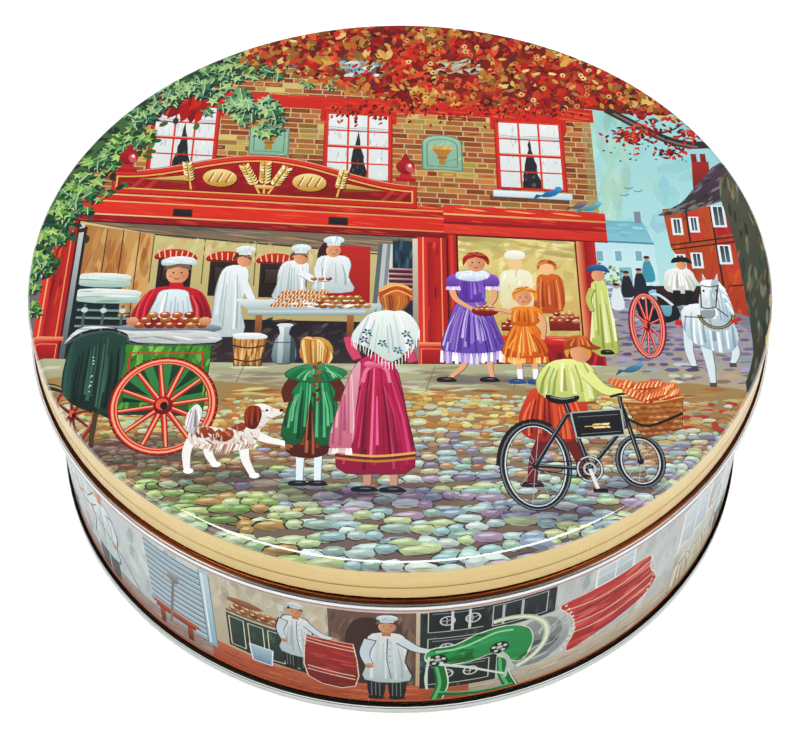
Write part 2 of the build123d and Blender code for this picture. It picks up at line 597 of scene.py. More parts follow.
def sash_window(pic, x):
    """A red sash window, three panes wide, with lace inside and a spire mirrored in it."""
    left, right, bottom, top = x - 8.6, x + 8.6, 33, 59.6
    pic.paint(rect(left - 1.3, bottom - 1, right + 1.3, top + 1.1), "b92a26")
    pic.paint(rect(left - 0.9, bottom - 0.6, right + 0.9, top + 0.9), "e2493a", "cf3a30")
    glass = pic.paint(rect(left, bottom, right, top), "eef1f0", "dfe6e6")
    with pic.inside(glass):
        dabs(pic, (left, bottom, right, top), 60, 2.6, 0.5, ("cfd8da", "f8faf8", "bcc9cf", "d9e0de"), 88,
             10, 0.7)
        for y in (53.6, 54.4):
            line(pic, ((left, y), (x - 3, y - 0.6), (x + 2, y), (right, y - 0.4)), 0.35, "9aa6ad",
                 alpha=0.7)
        spire = [(x - 3.2, bottom)]
        for step in range(9):
            y = bottom + step * 2.1
            half = 2.7 * (1 - step / 9) + pic.chance.uniform(-0.3, 0.3)
            spire.append((x - half, y + 1))
        spire.append((x + 0.1, bottom + 20))
        for step in reversed(range(9)):
            y = bottom + step * 2.1
            half = 2.7 * (1 - step / 9) + pic.chance.uniform(-0.3, 0.3)
            spire.append((x + half, y + 1))
        spire.append((x + 3.2, bottom))
        pic.paint(spire, "3d4247", "2f3338")
        dabs(pic, (x - 1.6, bottom, x + 1.6, bottom + 8), 14, 1.6, 0.5, ("5c646b", "24282d"), 85, 12)
    for i in (1, 2):
        bar = left + (right - left) * i / 3
        line(pic, ((bar, bottom), (bar, top)), 0.62, "d8402f")
        line(pic, ((bar + 0.22, bottom), (bar + 0.22, top)), 0.16, "f5a38c")
    for y in (39.4, 52.8):
        line(pic, ((left, y), (right, y)), 0.55, "d8402f")
    line(pic, ((left, 46.2), (right, 46.2)), 1.25, "cf382c")
    line(pic, ((left, 46.6), (right, 46.6)), 0.35, "f2b39a")


def window_sill(pic, x):
    pic.paint(rect(x - 12, 27.4, x + 10, 29.6), "6f4a33", alpha=0.8)
    outlined(pic, rect(x - 11, 29, x + 11, 31.6), "f2f7f7", "c3d9de", edge="9bb3b8")


def plaque(pic, x, y, arched):
    """A pale stone plaque with a gilt sheaf of wheat."""
    top = ellipse(x, y + 11, 5.6, 3.4 if arched else 0.3, count=9, start=0, sweep=180)
    stone = outlined(pic, [(x - 5.6, y), (x + 5.6, y)] + top, "a9cdb6", "95bda6", edge="6b9785", width=0.35)
    with pic.inside(stone):
        dabs(pic, (x - 5, y, x + 5, y + 13), 22, 3, 0.8, ("b9d8c3", "8db59f", "a2c8b0"), 60, 40, 0.5)
    inner = ellipse(x, y + 10.2, 4.3, 2.6 if arched else 0.2, count=9, start=0, sweep=180)
    path = [(x - 4.3, y + 1.4), (x + 4.3, y + 1.4)] + inner + [(x - 4.3, y + 1.4)]
    for a, b in zip(path, path[1:]):
        line(pic, (a, b), 0.25, "5f8c7a")
    for i in range(-4, 5):
        line(pic, ((x + i * 0.22, y + 2.2), (x + i * 0.18, y + 5), (x + i * 0.62, y + 8.6)), 0.4, "c08f45",
             0.75)
        daub(pic, x + i * 0.64, y + 9.2, 1.9, 0.85, 90 - i * 9, pic.vary("e0b869"))
    line(pic, ((x - 1.4, y + 5), (x + 1.4, y + 5.1)), 0.7, "a4713a")


def finial(pic, x, y, tall):
    """A turned red ball on a stem."""
    s = tall / 12
    pic.paint(rect(x - 2.8 * s, y, x + 2.8 * s, y + 1.6 * s), "b5262c")
    pic.paint(loop((x - 1.6 * s, y + 1.4 * s), (x + 1.6 * s, y + 1.4 * s), (x + 1.2 * s, y + 3.4 * s),
                   (x - 1.2 * s, y + 3.4 * s)), "c93034")
    ball = pic.paint(ellipse(x, y + 6 * s, 2.7 * s, 3 * s, count=18), "c62b35", "8e1c24")
    with pic.inside(ball):
        pic.paint(ellipse(x + 1.1 * s, y + 5.6 * s, 1.1 * s, 1.8 * s, 15), "e8808a", alpha=0.75)
        pic.paint(ellipse(x + 1.2 * s, y + 6.6 * s, 0.5 * s, 0.7 * s, count=8), "fbe3dd")
    pic.paint(loop((x - 1.1 * s, y + 8.6 * s), (x + 1.1 * s, y + 8.6 * s), (x + 0.7 * s, y + 10.4 * s),
                   (x, y + 11.6 * s), (x - 0.7 * s, y + 10.4 * s)), "b3242b")


def wheat_ear(pic, x, y, length, turn):
    """A gilt ear of wheat: paired grains up a stem, with a dark side."""
    cos, sin = math.cos(math.radians(turn)), math.sin(math.radians(turn))
    grain = length * 0.095
    line(pic, ((x, y), (x + cos * length, y + sin * length)), grain * 0.5, GOLD, grain * 0.3)
    for i in range(7):
        along = length * (0.38 + i * 0.09)
        for side in (-1, 1):
            px = x + cos * along - sin * side * grain * 0.75
            py = y + sin * along + cos * side * grain * 0.75
            daub(pic, px + 0.2, py - 0.25, grain * 2, grain * 1.05, turn + side * 28, "6a1016")
            daub(pic, px, py, grain * 1.9, grain * 0.95, turn + side * 28,
                 pic.vary(("f1dc96", "e3c069", "f6ebb8"), 0.03))


def loaf(pic, x, y, wide, tall):
    """A gilt round loaf with three cuts."""
    pic.paint(ellipse(x + 0.35, y - 0.4, wide, tall), "5e0f15")
    crust = pic.paint(ellipse(x, y, wide, tall, count=20), "f6e6a6", "c99a45")
    with pic.inside(crust):
        for i in (-1, 0, 1):
            line(pic, ((x + i * wide * 0.5 - 0.7, y - tall * 0.5),
                       (x + i * wide * 0.5 + 0.7, y + tall * 0.6)), 0.75, "a8742f", 0.3)
            line(pic, ((x + i * wide * 0.5 - 0.2, y - tall * 0.4),
                       (x + i * wide * 0.5 + 1.1, y + tall * 0.6)), 0.3, "fff6cf")


def pediment(pic):
    """The arched sign over the shop front, with bakery motifs where the lettering would be."""
    centre, half, base = -38, 42, 23.2

    def arch(t, grow):
        return centre + t * (half + grow * 0.5), 30.2 + 9.2 * math.cos(t * math.pi / 2) ** 2 + grow

    def board(grow, low):
        crown = [arch(i / 14, grow) for i in range(14, -15, -1)]
        return [(centre - half - grow * 0.5, low), (centre + half + grow * 0.5, low)] + crown

    pic.paint(board(1.4, base - 1), "a31d25")
    pic.paint(board(0.9, base - 0.5), "e2473a", "cf352c")
    face = pic.paint(board(-1.1, base + 1.4), "b5212b", "8f1820")
    with pic.inside(face):
        dabs(pic, (-78, 24, 4, 38), 90, 6, 1.4, ("c22a33", "9a1a23", "b0222c"), 5, 20, 0.6)
        for x in (-73, -69, -3, 1):
            line(pic, ((x - 3, base), (x + 3, 32)), 1.3, "d65a44", alpha=0.6)
    for grow, ink, wide in ((-1.1, GOLD, 0.5), (-0.5, "7c141b", 0.22), (1.1, "f0c7a0", 0.28)):
        crown = [arch(i / 14, grow) for i in range(14, -15, -1)]
        for a, b in zip(crown, crown[1:]):
            line(pic, (a, b), wide, ink)
    low = base + 1.4
    line(pic, ((centre - half + 0.6, low), (centre + half - 0.6, low)), 0.45, GOLD)
    for x in (centre - half + 0.6, centre + half - 0.6):
        line(pic, ((x, low), (x, 29.4)), 0.45, GOLD)
    # Gilt darts at the ends, then ears, loaves and a sheaf in the middle
    for side in (-1, 1):
        x = centre + side * 22
        pic.paint(((x, 27.4), (x, 31), (x + side * 12, 28.6)), "e9cf84", "b98a3d")
        pic.paint(((x, 27.4), (x + side * 12, 28.6), (x, 28.9)), "8c5c26")
        wheat_ear(pic, centre + side * 20.4, 25.4, 11.4, 90 - side * 10)
        loaf(pic, centre + side * 12.6, 30.6, 4.8, 3.6)
        wheat_ear(pic, centre + side * 1.2, 25.2, 12.6, 90 - side * 24)
    wheat_ear(pic, centre, 25.2, 13.4, 90)
    pic.paint(rect(centre - 2.2, 27.2, centre + 2.2, 28.6), "f6e6a6", "c99a45")


def band(pic, left, right, top, bottom, ink, ink2=None):
    return pic.paint(rect(left, bottom, right, top), ink, ink2)


def cornice(pic, left, right, levels):
    """A stack of mouldings: (top, ink, lower ink) from the highest down, ending at a level."""
    for (top, ink, ink2), (bottom, *_) in zip(levels, levels[1:]):
        shape = band(pic, left, right, top, bottom, ink, ink2)
        if top - bottom > 1:
            with pic.inside(shape):
                box = (left, bottom, right, top)
                dabs(pic, box, int((right - left) * 0.5), 7, 0.5, ("ee6a4a", ink, ink2), -5, 3, 0.6)


def shop_front(pic):
    """Red joinery round the open shop on the left and the glazed window on the right."""
    cornice(pic, -93, 13, (
        (23.6, "e8513c", "d63a2e"), (22.2, "f0c98a", "e2a765"), (21.6, "d9382d", "b92527"),
        (19.4, "efc488", "dfa364"), (18.9, "e5432f", "d8392c"), (14.2, "efd9b0", "d9a066"),
        (13.7, "b4232b", "8c1a22"), (11.4, "5e1218", "5e1218"), (10.9, "", ""),
    ))
    for x in (-60, -17):
        outlined(pic, rect(x - 2.6, 14.6, x + 2.6, 17.4), "38373b", "252428", edge="7a2320")
    cornice(pic, 12, 56.5, (
        (24.4, "e14a38", "cf362c"), (21.4, "f0c48a", "d99a5d"), (20.7, "d3342b", "b3222a"),
        (18.2, "8f1a26", "b0242c"), (17.2, "e2513c", "cf3a2e"), (13.4, "7d1720", "7d1720"), (12.9, "", ""),
    ))
    for x in (20, 33, 46):
        daub(pic, x, 23.2, 9, 0.6, -4, "f6b46b")


def pilaster(pic, left, right, bottom, top):
    """An upright with a sunk panel, lit on its left edge."""
    pic.paint(rect(left, bottom, right, top), "e2483a", "b8262a", axis="x")
    wide = right - left
    inner = pic.paint(rect(left + wide * 0.34, bottom + 9, left + wide * 0.7, top - 2), "a81f28", "c9342f",
                      axis="x")
    with pic.inside(inner):
        dabs(pic, (left, bottom, right, top), 20, 9, 0.7, ("e8603f", "8f1a22"), 88, 5, 0.7)
    line(pic, ((left + wide * 0.2, bottom + 8), (left + wide * 0.2, top)), 0.4, "f4b08a")
    line(pic, ((left + wide * 0.8, bottom + 8), (left + wide * 0.8, top)), 0.35, "e9a06c")
    line(pic, ((right, bottom), (right, top)), 0.5, "5e1218")
    band(pic, left - 0.6, right + 0.6, bottom + 9, bottom + 7.6, "f0b587", "d8503c")
    outlined(pic, rect(left + 0.9, bottom + 1, right - 0.9, bottom + 6.6), "c42c2c", "9d1d24",
             edge="f0a184")


def open_shop(pic):
    """Inside the bakery: panelled walls, ceiling, ovens, a red door, curtain and stairs."""
    room = pic.paint(rect(-88, -38, 7, 11), "d9cc96", "b9a878")
    with pic.inside(room):
        pic.paint(((-88, 11), (7, 11), (7, 4), (-67, 7.4)), "7e6d5e", "a89478")
        dabs(pic, (-80, 5, 0, 11), 50, 12, 0.8, ("6c5b50", "94816a", "bda684", "5a6a70"), -5, 4, 0.6)
        wall = pic.paint(((-88, 10), (-67, 7.4), (-67, -22), (-88, -30)), "b8854f", "d9b076", axis="x")
        with pic.inside(wall):
            dabs(pic, (-86, -24, -67, 8), 60, 9, 1.6, ("c99a5e", "a8743f", "dcb981", "b9793f"), 86, 6, 0.6)
        for x in (-80, -75.5, -71):
            line(pic, ((x, 8.5), (x, -26)), 0.3, "54402f")
        for x in (-67, -53, -39, -25):
            line(pic, ((x, 7), (x, -10)), 0.3, "6a6348")
        line(pic, ((-67, 7.4), (7, 3)), 0.5, "4b463c")
        dabs(pic, (-66, -2, -18, 6), 60, 4, 1.6, ("e3dba8", "c6bd86", "d9b98a", "cfd09a"), 80, 25, 0.5)
        for x in (-60.5, -46.5, -33):
            pic.paint(rect(x - 4.6, -14, x + 4.6, 0), "4a3330", "2e2426")
            hood = pic.paint(ellipse(x, -1.4, 6, 3.8, count=13, start=10,
                                     sweep=160) + [(x - 5.4, -1.6), (x + 5.4, -1.6)], "cf3a2a", "b52d26")
            for i in range(-3, 4):
                line(pic, ((x + i * 1.4, -1.2), (x + i * 1.65, 1.8)), 0.35, "f2cfa2")
            with pic.inside(hood):
                line(pic, ((x - 6, -1.2), (x + 6, -1.2)), 0.5, "7a2420")
            outlined(pic, rect(x - 3.4, -9, x + 3.2, -3.4), "5d4a48", "40312f", edge="1f1a1c", width=0.4)
            line(pic, ((x - 4.4, -4), (x - 3.4, -4), (x - 3.4, -8), (x - 4.4, -8)), 0.4, "1d1a1c")
        pic.paint(rect(-20.5, -18, -8, 6.5), "c93a33", "a8252a")
        pic.paint(ellipse(-19, 2, 3.4, 6, count=14), "4e2228")
        for x, ink in ((-6.6, "6d7a7c"), (-5.4, "c3c9c6"), (-4.2, "8f9a9b"), (-3.2, "d8dcd8"),
                       (-2.2, "5f6b70")):
            line(pic, ((x + 1.4, 8), (x + 0.8, -4), (x, -18)), 1.3, ink, 1.6)
        pic.paint(rect(-2, -34, 7, 9.5), "30495a", "22303d")
        dabs(pic, (-1.5, -2, 7, 9), 26, 6, 0.7, ("456273", "1f2c38", "5c7a88"), 88, 6, 0.7)
        for i in range(7):
            band(pic, -3, 4.4, -1.4 - i * 1.9, -2.2 - i * 1.9, "e3ddd6", "7c3440")
            band(pic, -3, 4.4, -2.2 - i * 1.9, -3.3 - i * 1.9, "6d2836", "5a2130")
        pic.paint(rect(-88, -38, -74, -10), "1e3b40", "16292e")
        pic.paint(rect(-74, -38, 7, -22), "2b2a33", "4a3d3f")
        dabs(pic, (-74, -37, 4, -22), 120, 4, 1.2, ("3d3344", "5c4852", "28303a", "6d5a4c", "7a6a5c"), 10,
             50, 0.7)
        # Dough rollers on the left
        for y, wide in ((-9.6, 12), (-15, 15)):
            roller = pic.paint(loop((-85, y + 2), (-85 + wide, y + 2.2), (-84 + wide, y),
                                    (-85 + wide, y - 2.2), (-85, y - 2.2)), "f4f8f4", "a9c3ba")
            with pic.inside(roller):
                dabs(pic, (-86, y - 2, -68, y + 2), 12, 9, 0.5, ("ffffff", "c9dcd2", "8fb0a6"), 0, 4, 0.8)
        for y in (-20, -22.6, -25.4):
            line(pic, ((-85, y), (-71, y)), 0.7, "8fa3a3")
            line(pic, ((-85, y - 0.8), (-71, y - 0.8)), 0.4, "0f1a1d")
        for x in (-83, -78, -73):
            line(pic, ((x, -18), (x, -29)), 0.7, "5d7474")
            pic.paint(ellipse(x, -20, 0.9, 0.9, count=8), "cfdad6")
    pic.paint(rect(-88, -37, -86.4, 10), "d6dad8", "5f6d70")
    pic.paint(rect(-86.4, -36, -85.6, 9), "2b2f33")


def shop_window(pic):
    """The glazed shop window, glowing cream, with people behind the glass."""
    pic.paint(rect(13, -38, 52, 14), "c72f2b", "a81f28")
    glass = pic.paint(rect(15.6, -26, 47.6, 12.9), "e9dd9c", "cdb069")
    with pic.inside(glass):
        dabs(pic, (15, -26, 48, 13), 150, 6, 2.2, ("f2ebb9", "dcc985", "e6d795", "d2b873", "c9c58c"), 60,
             45, 0.5)
        dabs(pic, (15, 6, 48, 13), 26, 9, 1.6, ("b5a96e", "c9bb7c"), -5, 8, 0.6)
    for x, wide, ink, ink2 in ((14.4, 1.5, "e8553f", "a81f28"), (48.8, 2.2, "efb07a", "b8352b")):
        pic.paint(rect(x - wide / 2, -28, x + wide / 2, 13.5), ink, ink2, axis="x")
    line(pic, ((15.3, 12.9), (47.8, 12.9)), 0.6, "5a1219")
    line(pic, ((15.5, -26), (15.5, 12.9)), 0.45, "4a1518")
    line(pic, ((47.6, -26), (47.6, 12.9)), 0.45, "7a241f")
    pic.paint(rect(50, -38, 53, 14), "9f1f27", "c9362f", axis="x")
    sill = pic.paint(loop((13, -26.4), (52, -26.4), (53.6, -27.6), (53, -29.6), (13, -29.4)), "ef5b48",
                     "b8242b")
    with pic.inside(sill):
        dabs(pic, (13, -30, 54, -26), 26, 7, 0.5, ("f8a58c", "d6402f"), 0, 4, 0.8)
    base = pic.paint(rect(11, -40.6, 52.4, -29.4), "b5212b", "7f1630")
    with pic.inside(base):
        dabs(pic, (11, -40, 52, -30), 70, 6, 1.3, ("d23a35", "951c2c", "7a1838", "c42d30"), 80, 30, 0.7)


def shop_uprights(pic):
    pilaster(pic, -95.6, -88, -38, 11)
    pilaster(pic, 4.6, 12.8, -38, 11.4)
    pic.paint(rect(3.4, -36, 4.8, 10.6), "ddd8c8", "8f8a80")


# --------------------------------------------- lid picture: leaves and cobbles

def ivy_leaf(pic, x, y, size, turn, ink):
    """A five-pointed leaf with one half lighter and a pale vein."""
    tips = ((0, 1.25), (0.32, 0.42), (1.0, 0.5), (0.55, -0.1), (0.75, -0.8), (0, -0.45),
            (-0.75, -0.8), (-0.55, -0.1), (-1.0, 0.5), (-0.32, 0.42))
    cos, sin = math.cos(math.radians(turn)), math.sin(math.radians(turn))
    points = [(x + size * (u * cos - v * sin), y + size * (u * sin + v * cos)) for u, v in tips]
    shadow = [(px + 0.25 * size, py - 0.4 * size) for px, py in points]
    pic.paint(shadow, "1f3f3c", alpha=0.75)
    pic.paint(points, pic.vary(ink, 0.07))
    pic.paint(points[:6], blend(ink, "e8efb0", pic.chance.uniform(0.1, 0.55)))
    pic.paint(ribbon((points[5], points[0]), size * 0.1), "dfe8b4")


def ivy(pic, spots, count, size, inks):
    """Leaves scattered round a chain of spots (x, y, spread)."""
    for i in range(count):
        x, y, spread = spots[i % len(spots)]
        px, py = pic.chance.gauss(x, spread * 0.5), pic.chance.gauss(y, spread * 0.5)
        ivy_leaf(
            pic, px, py, size * pic.chance.uniform(0.7, 1.25),
            180 + pic.chance.gauss(0, 35), pic.chance.choice(inks),
        )


def ivy_on_the_left(pic):
    back = ((-97, -2, 4), (-94, 14, 6), (-88, 30, 7), (-80, 46, 7), (-70, 62, 7), (-58, 72, 8),
            (-48, 80, 8))
    pic.paint(loop((-108, -14), (-97, -6), (-93, 14), (-88, 34), (-78, 50), (-62, 68), (-44, 84),
                   (-30, 108), (-108, 108)),
              "4a7048", "5c8450")
    for x, y, spread in back:
        for _ in range(60):
            daub(
                pic, pic.chance.gauss(x, spread * 0.7), pic.chance.gauss(y, spread * 0.7), 3.4, 1.8,
                pic.chance.uniform(0, 180), pic.vary(("24463f", "2f5a45", "37694c", "4a3b2c", "5b7a45")),
            )
    for x, y, reach in ((-66, 64, 6), (-62, 62, 5)):
        dabs(pic, (x - reach, y - 5, x + reach, y + 4), 24, 7, 2, ("c22a22", "96141a", "d83a2b"), 70, 20)
    ivy(pic, ((-97, -2, 3), (-95, 8, 4), (-93, 18, 5), (-88, 29, 6), (-84, 38, 6), (-78, 46, 6)), 150, 1.9,
        ("5b9a52", "7fb35c", "3f8054", "a4c86c", "4d8f63", "8fbf66"))
    ivy(pic, ((-76, 58, 4), (-68, 66, 6), (-60, 70, 6), (-52, 74, 6), (-50, 64, 6), (-44, 60, 4)), 130, 2.0,
        ("6aa374", "4f8f6b", "8cba8a", "3c7a63", "a3c98a"))
    ivy(pic, ((-54, 82, 8), (-46, 86, 7), (-38, 80, 7), (-34, 90, 5)), 110, 1.7,
        ("5f9a72", "86b07a", "4b7f5f", "9dbd7c", "7a9a5a"))
    ivy(pic, ((-46, 62, 3), (-40, 62, 3), (-37, 57, 3), (-39, 52, 3)), 60, 1.9,
        ("6aa374", "4f8f6b", "a3c98a", "8fc09a", "3d7f70"))
    ivy(pic, ((-26, 74, 4), (-18, 72, 3)), 24, 1.6, ("6c9f6e", "a8c07a", "567f55"))
    ivy(pic, ((-98, -10, 2), (-97, -18, 2)), 24, 1.6, ("5b9a52", "7fb35c"))


def autumn_canopy(pic):
    """A thick canopy of red and ochre leaves, with sky showing through and pale blossoms."""
    pic.paint(loop((-48, 96), (-36, 82), (-22, 78), (-12, 70), (4, 66), (20, 63), (38, 62), (56, 60),
                   (66, 58),
                   (80, 58), (98, 50), (104, 80), (40, 108), (-30, 108)), "7c2422", "9a3325")
    for _ in range(1100):
        x, y = pic.chance.uniform(-48, 92), pic.chance.uniform(58, 101)
        if y < 62 + max(0, -x) * 0.42 - max(0, x - 62) * 0.5 or math.hypot(x, y) > 102:
            continue
        deep = math.sin(x * 0.16) * math.sin(y * 0.21 + x * 0.05)
        inks = OCHRE if deep > 0.45 or (x < -8 and pic.chance.random() < 0.6) else AUTUMN
        daub(pic, x, y, 4.6, 2.3, pic.chance.gauss(70, 45), pic.vary(inks))
    for box, inks in (((-17, 75, -6, 81), ("a9c8d2", "dcecf0", "8fb2c4")),
                      ((11, 76, 24, 82), ("b9b9a2", "c9cdb8"))):
        dabs(pic, box, 26, 4, 1.6, inks, 12, 20)
    for _ in range(1500):
        x, y = pic.chance.uniform(-46, 92), pic.chance.uniform(55, 101)
        edge = 61.5 + max(0, -x - 4) * 0.5 - max(0, x - 58) * 0.55 + 1.5 * math.sin(x * 0.9)
        if y < edge or math.hypot(x, y) > 101:
            continue
        if pic.chance.random() < 0.22:
            daub(pic, x, y, 1.6, 0.5, pic.chance.gauss(80, 40), pic.vary(("3b2222", "54302a", "2f2a2c")))
            continue
        warm = pic.chance.random()
        inks = AUTUMN if warm < 0.7 else OCHRE
        daub(pic, x, y, 2.9, 1.3, pic.chance.gauss(80, 50), pic.vary(inks, 0.09))
    for _ in range(90):
        x, y = pic.chance.uniform(2, 88), pic.chance.uniform(60, 92)
        if math.hypot(x, y) < 98:
            blob(pic, x, y, 0.9, 1.0, pic.vary(("e8cf8f", "d9ad62", "d98a4a", "c9743c")), count=7,
                 rough=0.25)
            blob(pic, x, y - 0.1, 0.4, 0.45, "8f3f22", count=6)
    for x, count in ((-14, 60), (-4, 70), (8, 40), (22, 50), (34, 70), (44, 50)):
        for _ in range(count):
            px, py = pic.chance.gauss(x, 4), 62 - abs(pic.chance.gauss(0, 3.2))
            daub(pic, px, py, 1.7, 0.8, pic.chance.uniform(40, 130),
                 pic.vary(AUTUMN + ("3f2226", "6e3a2a")))


def pavement(pic):
    strip = pic.paint(loop((-104, -36), (-60, -36.6), (0, -37.4), (58, -38.4), (58, -49), (20, -48),
                           (-30, -46), (-104, -46)), "bcc0a0", "b0a384")
    with pic.inside(strip):
        dabs(pic, (-98, -49, 56, -37), 200, 9, 1.1, ("ccd0b4", "a89c80", "bdb598", "9c9288", "d4d8c0"), 0,
             6, 0.7)
        for x in (-40, -18, 9, 31):
            line(pic, ((x, -38), (x - 3, -48)), 0.25, "8f8468")
    line(pic, ((-100, -45.8), (-30, -46.4), (20, -48.2), (56, -49.2)), 0.7, "a08f74")


def cobble(pic, x, y, wide, tall, ink, gap):
    """One stone: a dark rim, a face that is lighter at the back, and two brush strokes."""
    blob(pic, x, y - tall * 0.06, wide * 1.06, tall * 1.12, gap, count=8, rough=0.12)
    stone = blob(pic, x, y, wide, tall, pic.vary(ink, 0.05), blend(ink, gap, 0.3), count=9, rough=0.15)
    if tall > 0.8:
        with pic.inside(stone):
            daub(pic, x - wide * 0.15, y + tall * 0.4, wide * 1.2, tall * 0.5, 5, blend(ink, "ffffff", 0.5),
                 0.8)
            daub(pic, x + wide * 0.2, y - tall * 0.6, wide * 1.2, tall * 0.5, -5, blend(ink, gap, 0.5), 0.6)


def stone_inks(x, y):
    """Stone colours and the colour between the stones, at one place of the street."""
    if y > -60:
        if x > 56:
            return ("dfe8d8", "c98f5c", "b9a98a", "d0b98a", "c4463f", "a8b49c"), "8a6648"
        return ("dcb870", "cfa05c", "e9d694", "dfeab0", "cfe3d0", "c98a50", "c9d3b8", "bcd0c8"), "a27a48"
    if y > -74:
        if x < -34:
            return ("c2a06c", "9dab68", "cdb488", "b0744c", "8f9f6a", "cfc894"), "57483a"
        return ("cfae80", "b9a088", "9a96a8", "dcd6b0", "b5c9b0", "b98a68", "a4a4bc", "c9dcc8",
                "b0c8cc"), "5f5256"
    if x < -26:
        return ("a9c67a", "8fb06c", "c6d892", "c9a56c", "b7d4a8", "d5e4b8"), "2e3f30"
    return ("c3e0d6", "a9d2cf", "dcefe4", "a9ccbc", "c9dea8", "a9c0cd", "c0b0c6", "cfe6dc"), "5a4650"


def cobbles(pic):
    """Uneven rows of rounded stones that grow towards the viewer, in drifts of colour."""
    pic.paint(loop((-104, -44), (0, -47), (100, -48), (104, -104), (-104, -104)), "b09664", "75666c")
    dabs(pic, (-100, -62, 100, -45.5), 460, 8, 0.9, ("d6a860", "b87c3e", "e3cf8c", "a8683a", "cfd69c"), 0,
         8, 0.75)
    y = -48.5
    while y > -101:
        depth = 1.05 + (-48 - y) * 0.045
        x = -101 + pic.chance.uniform(0, 2)
        wave, swing = pic.chance.uniform(0, 6), pic.chance.uniform(0.09, 0.2)
        while x < 101:
            wide = depth * pic.chance.uniform(1.1, 2.8)
            bend = 2.2 * math.cos((x - 8) * 0.028) - 1.2 + 0.45 * depth * math.sin(x * swing + wave)
            py = y + bend + pic.chance.uniform(-0.2, 0.2) * depth
            if math.hypot(x, py) < 103 and (y < -58 or pic.chance.random() < 0.7):
                inks, gap = stone_inks(x + pic.chance.gauss(0, 5), py + pic.chance.gauss(0, 2.5))
                tall = depth * pic.chance.uniform(0.42, 0.56)
                cobble(pic, x + wide / 2, py, wide * 0.55, tall, pic.chance.choice(inks), gap)
            x += wide
        y -= depth * 0.72
    # Shade that pools under the cart, the people and the bicycle
    for x, y, rx, ry in ((-66, -66, 19, 5), (-42, -74, 14, 3.4), (-21, -78, 10, 3), (-2, -79, 14, 3.4),
                         (36, -84, 13, 3.4), (56, -76, 9, 2.4), (20, -42.5, 11, 1.6), (34, -43, 6, 1.2)):
        for grow in (1.25, 1.0, 0.75):
            pic.paint(ellipse(x, y, rx * grow, ry * grow, count=18), "3a2a4c", alpha=0.13)


# ------------------------------------------------------ lid picture: people

SKIN = "e9b58c"
WHITE = ("f4f8f7", "e3ecec", "d3dfe1")


def head(pic, x, y, size, hair, face="front", skin=SKIN):
    """A plain round head. Front view has two dots for eyes and a short smile."""
    if face == "back":
        pic.paint(ellipse(x, y, size, size * 1.12), hair, blend(hair, "3a2218", 0.35))
        return
    pic.paint(ellipse(x, y, size * 0.82, size), skin, blend(skin, "b5694a", 0.4), axis="x")
    if face == "front":
        for side in (-1, 1):
            pic.paint(ellipse(x + side * size * 0.3, y + size * 0.1, size * 0.08, size * 0.1, count=6),
                      "3c2a26")
            pic.paint(ellipse(x + side * size * 0.45, y - size * 0.25, size * 0.16, size * 0.12, count=7),
                      "d9806a", alpha=0.6)
        line(pic, ((x - size * 0.2, y - size * 0.45), (x, y - size * 0.53),
                   (x + size * 0.2, y - size * 0.45)), size * 0.09, "a8483c")


def hair_cap(pic, x, y, size, ink, count=16, low=-10):
    """Hair over the top and sides of a head, in strands."""
    crown = ellipse(x, y + size * 0.15, size * 1.05, size * 1.05, count=14, start=low, sweep=180 - 2 * low)
    shape = pic.paint(crown + [(x - size * 0.6, y + size * 0.4), (x, y + size * 0.62),
                               (x + size * 0.6, y + size * 0.4)], ink)
    with pic.inside(shape):
        for i in range(count):
            a = math.radians(180 * (i + 0.5) / count)
            tip = (x + size * 1.1 * math.cos(a), y + size * 0.15 + size * 1.1 * math.sin(a))
            line(pic, ((x, y + size * 0.9), tip), size * 0.13,
                 pic.vary((ink, blend(ink, "fff0c0", 0.4), blend(ink, "401810", 0.35))))


def baker_hat(pic, x, y, size):
    pic.paint(rect(x - size * 0.75, y, x + size * 0.75, y + size * 0.6), "dde7e8")
    puff = pic.paint(loop((x - size * 0.8, y + size * 0.4), (x - size * 1.15, y + size),
                          (x - size * 0.4, y + size * 1.45),
                          (x + size * 0.7, y + size * 1.4), (x + size * 1.2, y + size * 0.9),
                          (x + size * 0.8, y + size * 0.4)), "fafcfb", "c6d6da")
    with pic.inside(puff):
        dabs(pic, (x - size, y, x + size, y + size * 1.4), 8, size, size * 0.2, WHITE, 80, 20)


def buns(pic, x, y, wide, rows, size, inks=("c98a4a", "d9a45c", "b56f38", "e3bb7c")):
    """A heap of round loaves, lit from above."""
    for row in range(rows):
        span = wide * (1 - row * 0.16)
        count = int(span / (size * 1.7))
        for i in range(count):
            px = x - span / 2 + span * (i + 0.5) / count
            py = y + row * size * 1.15
            ink = pic.vary(inks)
            pic.paint(ellipse(px, py, size, size * 0.78, count=10), ink, blend(ink, "6b2c18", 0.6))
            daub(pic, px - size * 0.2, py + size * 0.35, size * 0.9, size * 0.4, 10, "f9e6b8")


def white_coat(pic, x, y, wide, tall, lean=0.0):
    """A baker's coat, shoulders at the top, open skirts at the bottom."""
    top = y + tall
    coat = outlined(pic, loop(
        (x - wide * 0.3 + lean, top), (x + wide * 0.3 + lean, top),
        (x + wide * 0.46 + lean * 0.6, top - tall * 0.25),
        (x + wide * 0.4, y + tall * 0.4), (x + wide * 0.52, y), (x - wide * 0.5, y),
        (x - wide * 0.42, y + tall * 0.4),
        (x - wide * 0.46 + lean * 0.6, top - tall * 0.25)), "f1f5f4", "c3cfd0", edge="9aa9ab", width=0.16)
    folds(pic, coat, x - wide * 0.5, x + wide * 0.5, top, y, ("c9d5d6", "ffffff", "aebcc0"), 9, 0.7, 0.7,
          0.7)
    return coat


